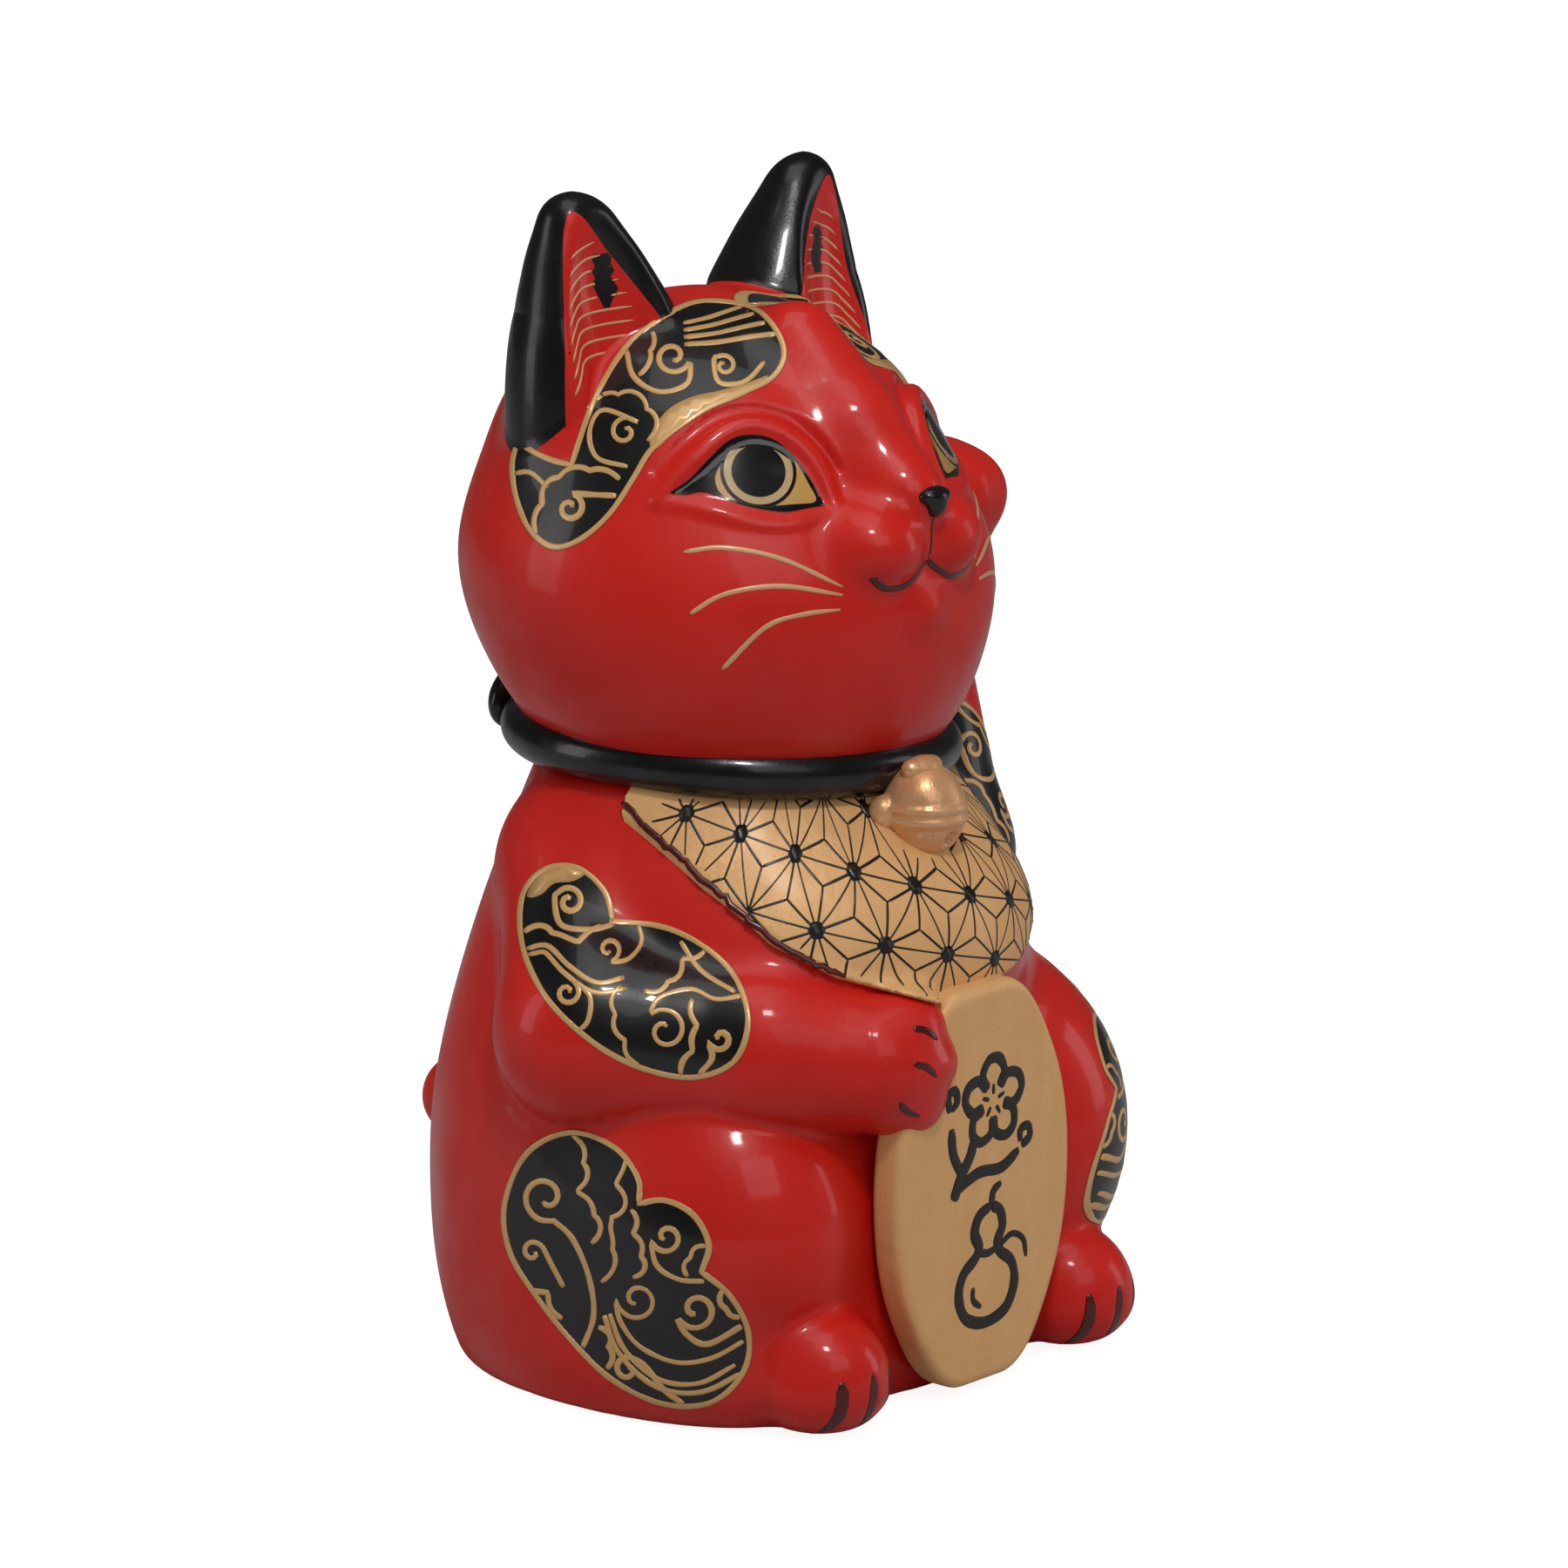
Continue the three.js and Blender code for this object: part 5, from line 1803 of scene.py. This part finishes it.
        for layer, radius, droop, lift, finish in (("ring", 4.75, 0.0, 0.20, Finish.EYE_BLACK),
                                                   ("iris", 4.3, 1.0, 0.24, Finish.IRIS),
                                                   ("pupil", 3.35, 0.2, 0.30, Finish.EYE_BLACK)):
            sheet = paint_sheet(board, disc(radius, droop), lift, 0.6, 0.08)
            self.bench.piece(f"{name}_eye_{layer}", sheet, finish, shade=surface)

    def ears(self) -> None:
        """The red inside of each ear, with its fine gold hairs."""
        rng = np.random.default_rng(8)
        for side, name in ((1, "left"), (-1, "right")):
            horn = self.sculpt.ear(side)
            board = Chart(horn, (side * 21, 8, 132), azimuth=side * 14, elevation=4, mirror=side > 0, reach=30)
            edge = smoothed([(-3.4, 16.2), (0.4, 12.2), (3.6, 8.2), (6.0, 4.8), (7.8, 1.6), (7.6, -2.0), (4.2, -5.6),
                             (0.2, -9.6), (-3.8, -13.4), (-6.6, -14.8), (-7.4, -11.0), (-7.2, -3.0), (-6.4, 4.0),
                             (-5.8, 10.0), (-4.9, 14.6)], closed=True, spacing=0.8)
            self.bench.piece(f"{name}_ear_lining", paint_sheet(board, edge, 0.08, 0.9, 0.2), Finish.RED, shade=horn)
            hairs = []
            for k in range(9):
                level = 12.0 - k * 1.75
                reach_in = np.interp(level, [-4, 4, 12], [4.8, 4.4, -0.2])
                start = np.interp(level, [-4, 4, 12], [-6.8, -6.4, -5.2])
                drop = np.interp(level, [-4, 12], [5.2, 2.0])
                path = smoothed([(start, level - drop), (start + 1.5, level - drop * 0.42), (start + 3.6, level),
                                 (reach_in, level + 0.6)], spacing=0.6)
                hairs += [Stroke(part, 0.34, 0.06, 0.09, ends=(0.8, 2.0)) for part in kept(path, edge, 0.7)]
            self.bench.piece(f"{name}_ear_hairs", paint_lines(board, hairs, rng), Finish.WHISKER)


@dataclass
class ClothPattern:
    """The hemp-leaf lattice painted on the bib."""

    bench: Bench
    sculpt: Sculpt
    form: Form
    edge: Points
    spacing: float = 8.7
    tilt: float = -15.0
    origin: Pair = (-6.7, 72.6)

    def build(self) -> None:
        """Makes the pieces."""
        board = Wrap(self.form, (0.0, 0.0), 30.0, -48.0)
        tilt = math.radians(self.tilt)
        first = self.spacing * np.array([math.cos(tilt), math.sin(tilt)])
        second = self.spacing * np.array([math.cos(tilt - math.pi / 3), math.sin(tilt - math.pi / 3)])
        lines, dots = [], []
        for i in range(-7, 12):
            for j in range(-7, 8):
                corner = np.array(self.origin) + i * first + j * second
                if not (48 < corner[1] < 90 and -26 < corner[0] < 66):
                    continue
                dots.append(corner)
                for end in (corner + first, corner + second, corner + first - second):
                    lines.append((corner, end, 0.24))
                for a, b in ((first, second), (first, first - second)):
                    centroid = corner + (a + b) / 3
                    for other in (corner, corner + a, corner + b):
                        lines.append((centroid, other, 0.32))
        rng, share = np.random.default_rng(11), np.linspace(0, 1, 10)[:, None]
        paths = [start + (end - start) * share for start, end, _ in lines]
        strokes = []
        for path, good, (_, _, width) in zip(paths, self.on_bib(board, paths), lines):
            for part in runs(path, good):
                strokes.append(Stroke(part, width, 0.03, 0.02, ends=(0.3, 0.3), tip=0.7))
        self.bench.piece("bib_lattice", paint_lines(board, strokes, rng), Finish.INK)
        rounds = []
        for corner in dots:
            turn = np.linspace(0, 2 * math.pi, 12, endpoint=False)
            wobble = 1.05 + 0.07 * np.cos(6 * turn) + rng.normal(0, 0.02, 12)
            rounds.append(corner + np.stack([np.cos(turn), np.sin(turn)], 1) * wobble[:, None])
        spots = [paint_sheet(board, spot, 0.06, 0.8, 0.12)
                 for spot, good in zip(rounds, self.on_bib(board, rounds)) if good.all()]
        self.bench.piece("bib_dots", Shape.merged(spots), Finish.INK)
        # Painted shadow: a dark line along the bib's left edge, where the bib stands off the body.
        edge_shadow_path = smoothed([(-27.9, 75.6), (-27.0, 69.6), (-25.6, 64.6), (-23.3, 60.2), (-18.4, 56.4)], spacing=0.5)
        edge = Stroke(self.unrolled(edge_shadow_path + rng.normal(0, 0.16, (len(edge_shadow_path), 2))), 0.75, 0.12, 0.0)
        self.bench.piece("bib_edge_shadow", paint_lines(Wrap(self.form, (0, 0), 30, 0), [edge], rng), Finish.CLAW)

    def unrolled(self, seen: Points) -> Points:
        """Points seen from the front, as distance round the bib's axis and height."""
        front = Chart(self.form, (0.0, -30.0, 0.0)).laid(seen, 0.0)
        return np.stack([30.0 * np.arctan2(front[:, 0], -front[:, 1]), front[:, 2]], 1)

    def on_bib(self, board: Wrap, paths: Sequence[Points]) -> list[np.ndarray]:
        """Which points of each path lie on the bib, clear of the bell."""
        seen = board.laid(np.concatenate(paths), 0.0)
        flat = seen[:, (0, 2)]
        inside = within(flat, self.edge) & (edge_distance(flat, self.edge) > 0.18) & (seen[:, 1] < -2)
        inside &= (np.linalg.norm(seen - np.array([0, -22.4, 73.4]), axis=1) > 6.0) & (seen[:, 2] < 76.6)
        return np.split(inside, np.cumsum([len(path) for path in paths])[:-1])


@dataclass
class CoinMotif:
    """The brushed motif on the coin tablet: a plum spray above a gourd."""

    bench: Bench
    form: Form

    def stroke(self, points: Sequence[Pair], width: float, ends: Pair = (0.6, 1.6)) -> Stroke:
        """One brush stroke."""
        return Stroke(smoothed(points, spacing=0.45), width, 0.05, 0.0, ends=ends, tip=0.6)

    def build(self) -> None:
        """Makes the piece."""
        board = Chart(self.form, (0, -34.6, 26.0), azimuth=0, elevation=0, reach=12)
        rng = np.random.default_rng(21)
        parts = []
        for k in range(5):
            turn = math.radians(90 + 72 * k)
            x, y = 0.8 + 3.5 * math.cos(turn), 12.0 + 3.5 * math.sin(turn)
            ring = [(x + 2.1 * math.cos(turn + math.radians(a)), y + 2.1 * math.sin(turn + math.radians(a)))
                    for a in (-150, -90, -35, 0, 35, 90, 150)]
            parts.append(self.stroke(ring, 1.5, (0.4, 0.4)))
            parts.append(self.stroke([(0.8 + 0.9 * math.cos(turn), 12.0 + 0.9 * math.sin(turn)),
                                             (0.8 + 2.2 * math.cos(turn), 12.0 + 2.2 * math.sin(turn))], 0.8))
        parts += [
            self.stroke([(-6.8, 0.6), (-5.4, 3.4), (-3.6, 5.8), (-2.8, 8.2)], 1.9),
            self.stroke([(-5.2, 3.6), (-6.9, 6.6), (-7.3, 10.0)], 1.6),
            self.stroke([(-6.2, 1.8), (-2.0, 3.2), (2.4, 3.0), (5.8, 4.6)], 1.6),
            self.stroke([(-7.6, 12.2), (-7.9, 14.2), (-6.7, 14.9), (-6.2, 13.4), (-7.2, 12.3)], 1.35),
            self.stroke([(6.3, 5.0), (7.9, 5.9), (7.6, 7.4), (6.1, 7.1), (6.1, 5.6)], 1.35),
        ]
        gourd = [(0.4, -1.6), (-1.8, -2.5), (-2.7, -4.6), (-1.8, -6.6), (-2.6, -7.9), (-4.9, -9.6), (-5.7, -12.4),
                 (-4.3, -15.4), (-0.6, -16.7), (3.4, -15.7), (5.1, -12.7), (4.5, -9.8), (2.3, -8.0), (1.7, -6.6),
                 (2.7, -4.7), (2.2, -2.6), (0.6, -1.6)]
        parts += [
            self.stroke(gourd, 1.75, (0.4, 0.4)),
            self.stroke([(0.5, -1.8), (0.9, 0.2), (2.4, 1.0)], 1.3),
            self.stroke([(-2.2, -7.2), (0.0, -7.7), (2.2, -7.1)], 1.15),
            self.stroke([(2.2, -7.2), (4.6, -6.2), (6.8, -7.4), (7.4, -9.8)], 0.95),
            self.stroke([(-2.9, -11.6), (-2.9, -13.3), (-1.4, -14.5)], 1.0),
        ]
        self.bench.piece("koban_motif", paint_lines(board, parts, rng), Finish.INK)


@dataclass
class ClawMarks:
    """The short dark strokes that part the toes."""

    bench: Bench
    sculpt: Sculpt

    def build(self) -> None:
        """Makes the pieces."""
        rng = np.random.default_rng(14)
        body = self.sculpt.body(True)
        board = Chart(body, (-13.0, -33.0, 45.0), azimuth=-40, elevation=6, reach=20)
        marks = [[(-0.4, 5.4), (1.4, 4.9), (2.9, 3.6)], [(-0.6, 1.2), (1.2, 0.5), (2.6, -0.9)],
                 [(-2.4, -3.6), (-1.2, -5.0), (0.4, -5.8)]]
        lines = [Stroke(smoothed(mark, spacing=0.35), 0.85, 0.03, 0.03, ends=(0.8, 1.4)) for mark in marks]
        self.bench.piece("holding_paw_marks", paint_lines(board, lines, rng), Finish.CLAW)
        for side, name in ((1, "left"), (-1, "right")):
            x, y, z = self.sculpt.foot
            board = Chart(body, (side * x, y - 11, z), azimuth=0, elevation=12, reach=20)
            lines = [Stroke(smoothed([(across, 0.9), (across * 1.02, -2.4), (across * 1.04, -5.6)], spacing=0.4),
                            1.4, 0.03, 0.03, ends=(2.0, 1.0), tip=0.4) for across in (-4.4, 0.0, 4.4)]
            self.bench.piece(f"{name}_foot_marks", paint_lines(board, lines, rng), Finish.CLAW)


# ------------------------ studio
@dataclass
class Studio:
    """The camera, lights and floor."""

    target: Vector
    distance: float = 0.816
    azimuth: float = 48.0
    elevation: float = 13.0

    def camera(self) -> None:
        """Places the camera on the cat's right front."""
        data = bpy.data.cameras.new("studio_camera")
        data.lens = 147.03
        data.sensor_width = 36.0
        data.clip_start, data.clip_end = 0.01, 50
        camera = bpy.data.objects.new("studio_camera", data)
        turn, rise = math.radians(self.azimuth), math.radians(self.elevation)
        out = Vector((-math.sin(turn) * math.cos(rise), -math.cos(turn) * math.cos(rise), math.sin(rise)))
        camera.location = self.target + out * self.distance
        camera.rotation_euler = out.to_track_quat("Z", "Y").to_euler()
        bpy.context.scene.collection.objects.link(camera)
        bpy.context.scene.camera = camera

    def light(self, name: str, azimuth: float, elevation: float, distance: float, size: Pair, power: float,
              colour: Triple = (1.0, 1.0, 1.0)) -> None:
        """Places a soft rectangular light that faces the cat.

        Args:
            name: its name.
            azimuth: its bearing in degrees, from the cat's front towards its right.
            elevation: its height in degrees.
            distance: how far off it is, in metres.
            size: its width and height in metres.
            power: its power in watts.
            colour: its colour.
        """
        data = bpy.data.lights.new(name, "AREA")
        data.shape, data.size, data.size_y = "RECTANGLE", size[0], size[1]
        data.energy, data.color = power, colour
        lamp = bpy.data.objects.new(name, data)
        turn, rise = math.radians(azimuth), math.radians(elevation)
        out = Vector((-math.sin(turn) * math.cos(rise), -math.cos(turn) * math.cos(rise), math.sin(rise)))
        lamp.location = self.target + out * distance
        lamp.rotation_euler = out.to_track_quat("Z", "Y").to_euler()
        bpy.context.scene.collection.objects.link(lamp)

    def build(self) -> None:
        """Sets up the studio."""
        self.camera()
        self.light("key_softbox", 37, 58, 0.75, (0.085, 0.085), 1.6)
        self.light("fill_panel", 20, 34, 0.95, (0.5, 0.4), 0.8)
        self.light("window_left", 128, 16, 0.8, (0.25, 0.5), 0.7)
        self.light("window_right", -54, 12, 0.85, (0.25, 0.5), 0.6)
        self.light("top_panel", 60, 86, 0.85, (0.5, 0.5), 1.1)
        bpy.context.scene.view_settings.view_transform = "Standard"
        world = bpy.data.worlds.new("studio")
        bpy.context.scene.world = world
        world.use_nodes = True
        w = Wiring(world.node_tree)
        rays = w.add("LightPath")
        background = world.node_tree.nodes["Background"]
        background.inputs["Color"].default_value = (1, 1, 1, 1)
        soft = w.ramp(rays.outputs["Is Glossy Ray"], 0, 1, 0.37, 0.045)
        w.feed(background, "Strength", w.math("MAXIMUM", soft, rays.outputs["Is Camera Ray"]))
        mesh = bpy.data.meshes.new("floor")
        half = 3.0
        mesh.from_pydata([(-half, -half, 0), (half, -half, 0), (half, half, 0), (-half, half, 0)], [], [(0, 1, 2, 3)])
        floor = bpy.data.objects.new("floor", mesh)
        floor.location.z = -0.0002
        bpy.context.scene.collection.objects.link(floor)
        made = bpy.data.materials.new("floor_paper")
        made.use_nodes = True
        w = Wiring(made.node_tree)
        shader = made.node_tree.nodes["Principled BSDF"]
        grain = w.add("TexNoise", Scale=400.0, Detail=2.0)
        w.feed(shader, "Base Color", w.mix(grain.outputs["Fac"], (0.44, 0.44, 0.44, 1), (0.47, 0.47, 0.47, 1)))
        shader.inputs["Emission Color"].default_value = (1, 1, 1, 1)
        w.feed(shader, "Emission Strength", w.math("MULTIPLY", w.add("LightPath").outputs["Is Camera Ray"], 0.9))
        shader.inputs["Roughness"].default_value = 0.9
        mesh.materials.append(made)
        floor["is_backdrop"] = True


def main() -> None:
    """Builds the cat and its studio."""
    logging.basicConfig(level=logging.INFO, format="%(message)s")
    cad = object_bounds()
    low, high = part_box("base_stopper")
    sculpt = Sculpt()
    origin = Vector(((low.x + high.x) / 2, (low.y + high.y) / 2 - sculpt.body_back * MM, 0))
    Studio(origin + Vector((0, 0, 0.0735))).build()
    bench = Bench(origin)
    for assembly in (BodyAssembly, HeadAssembly, CollarAssembly, KobanAssembly, BibAssembly, StopperAssembly,
                     Decoration, ClawMarks):
        assembly(bench, sculpt).build()
    bpy.context.view_layer.update()
    log.info("%d pieces", len(bench.made))
    boxes = {"cad": cad, "visual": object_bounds()}
    {key: [list(corner) for corner in box] for key, box in boxes.items()}


if __name__ == "__main__":
    main()
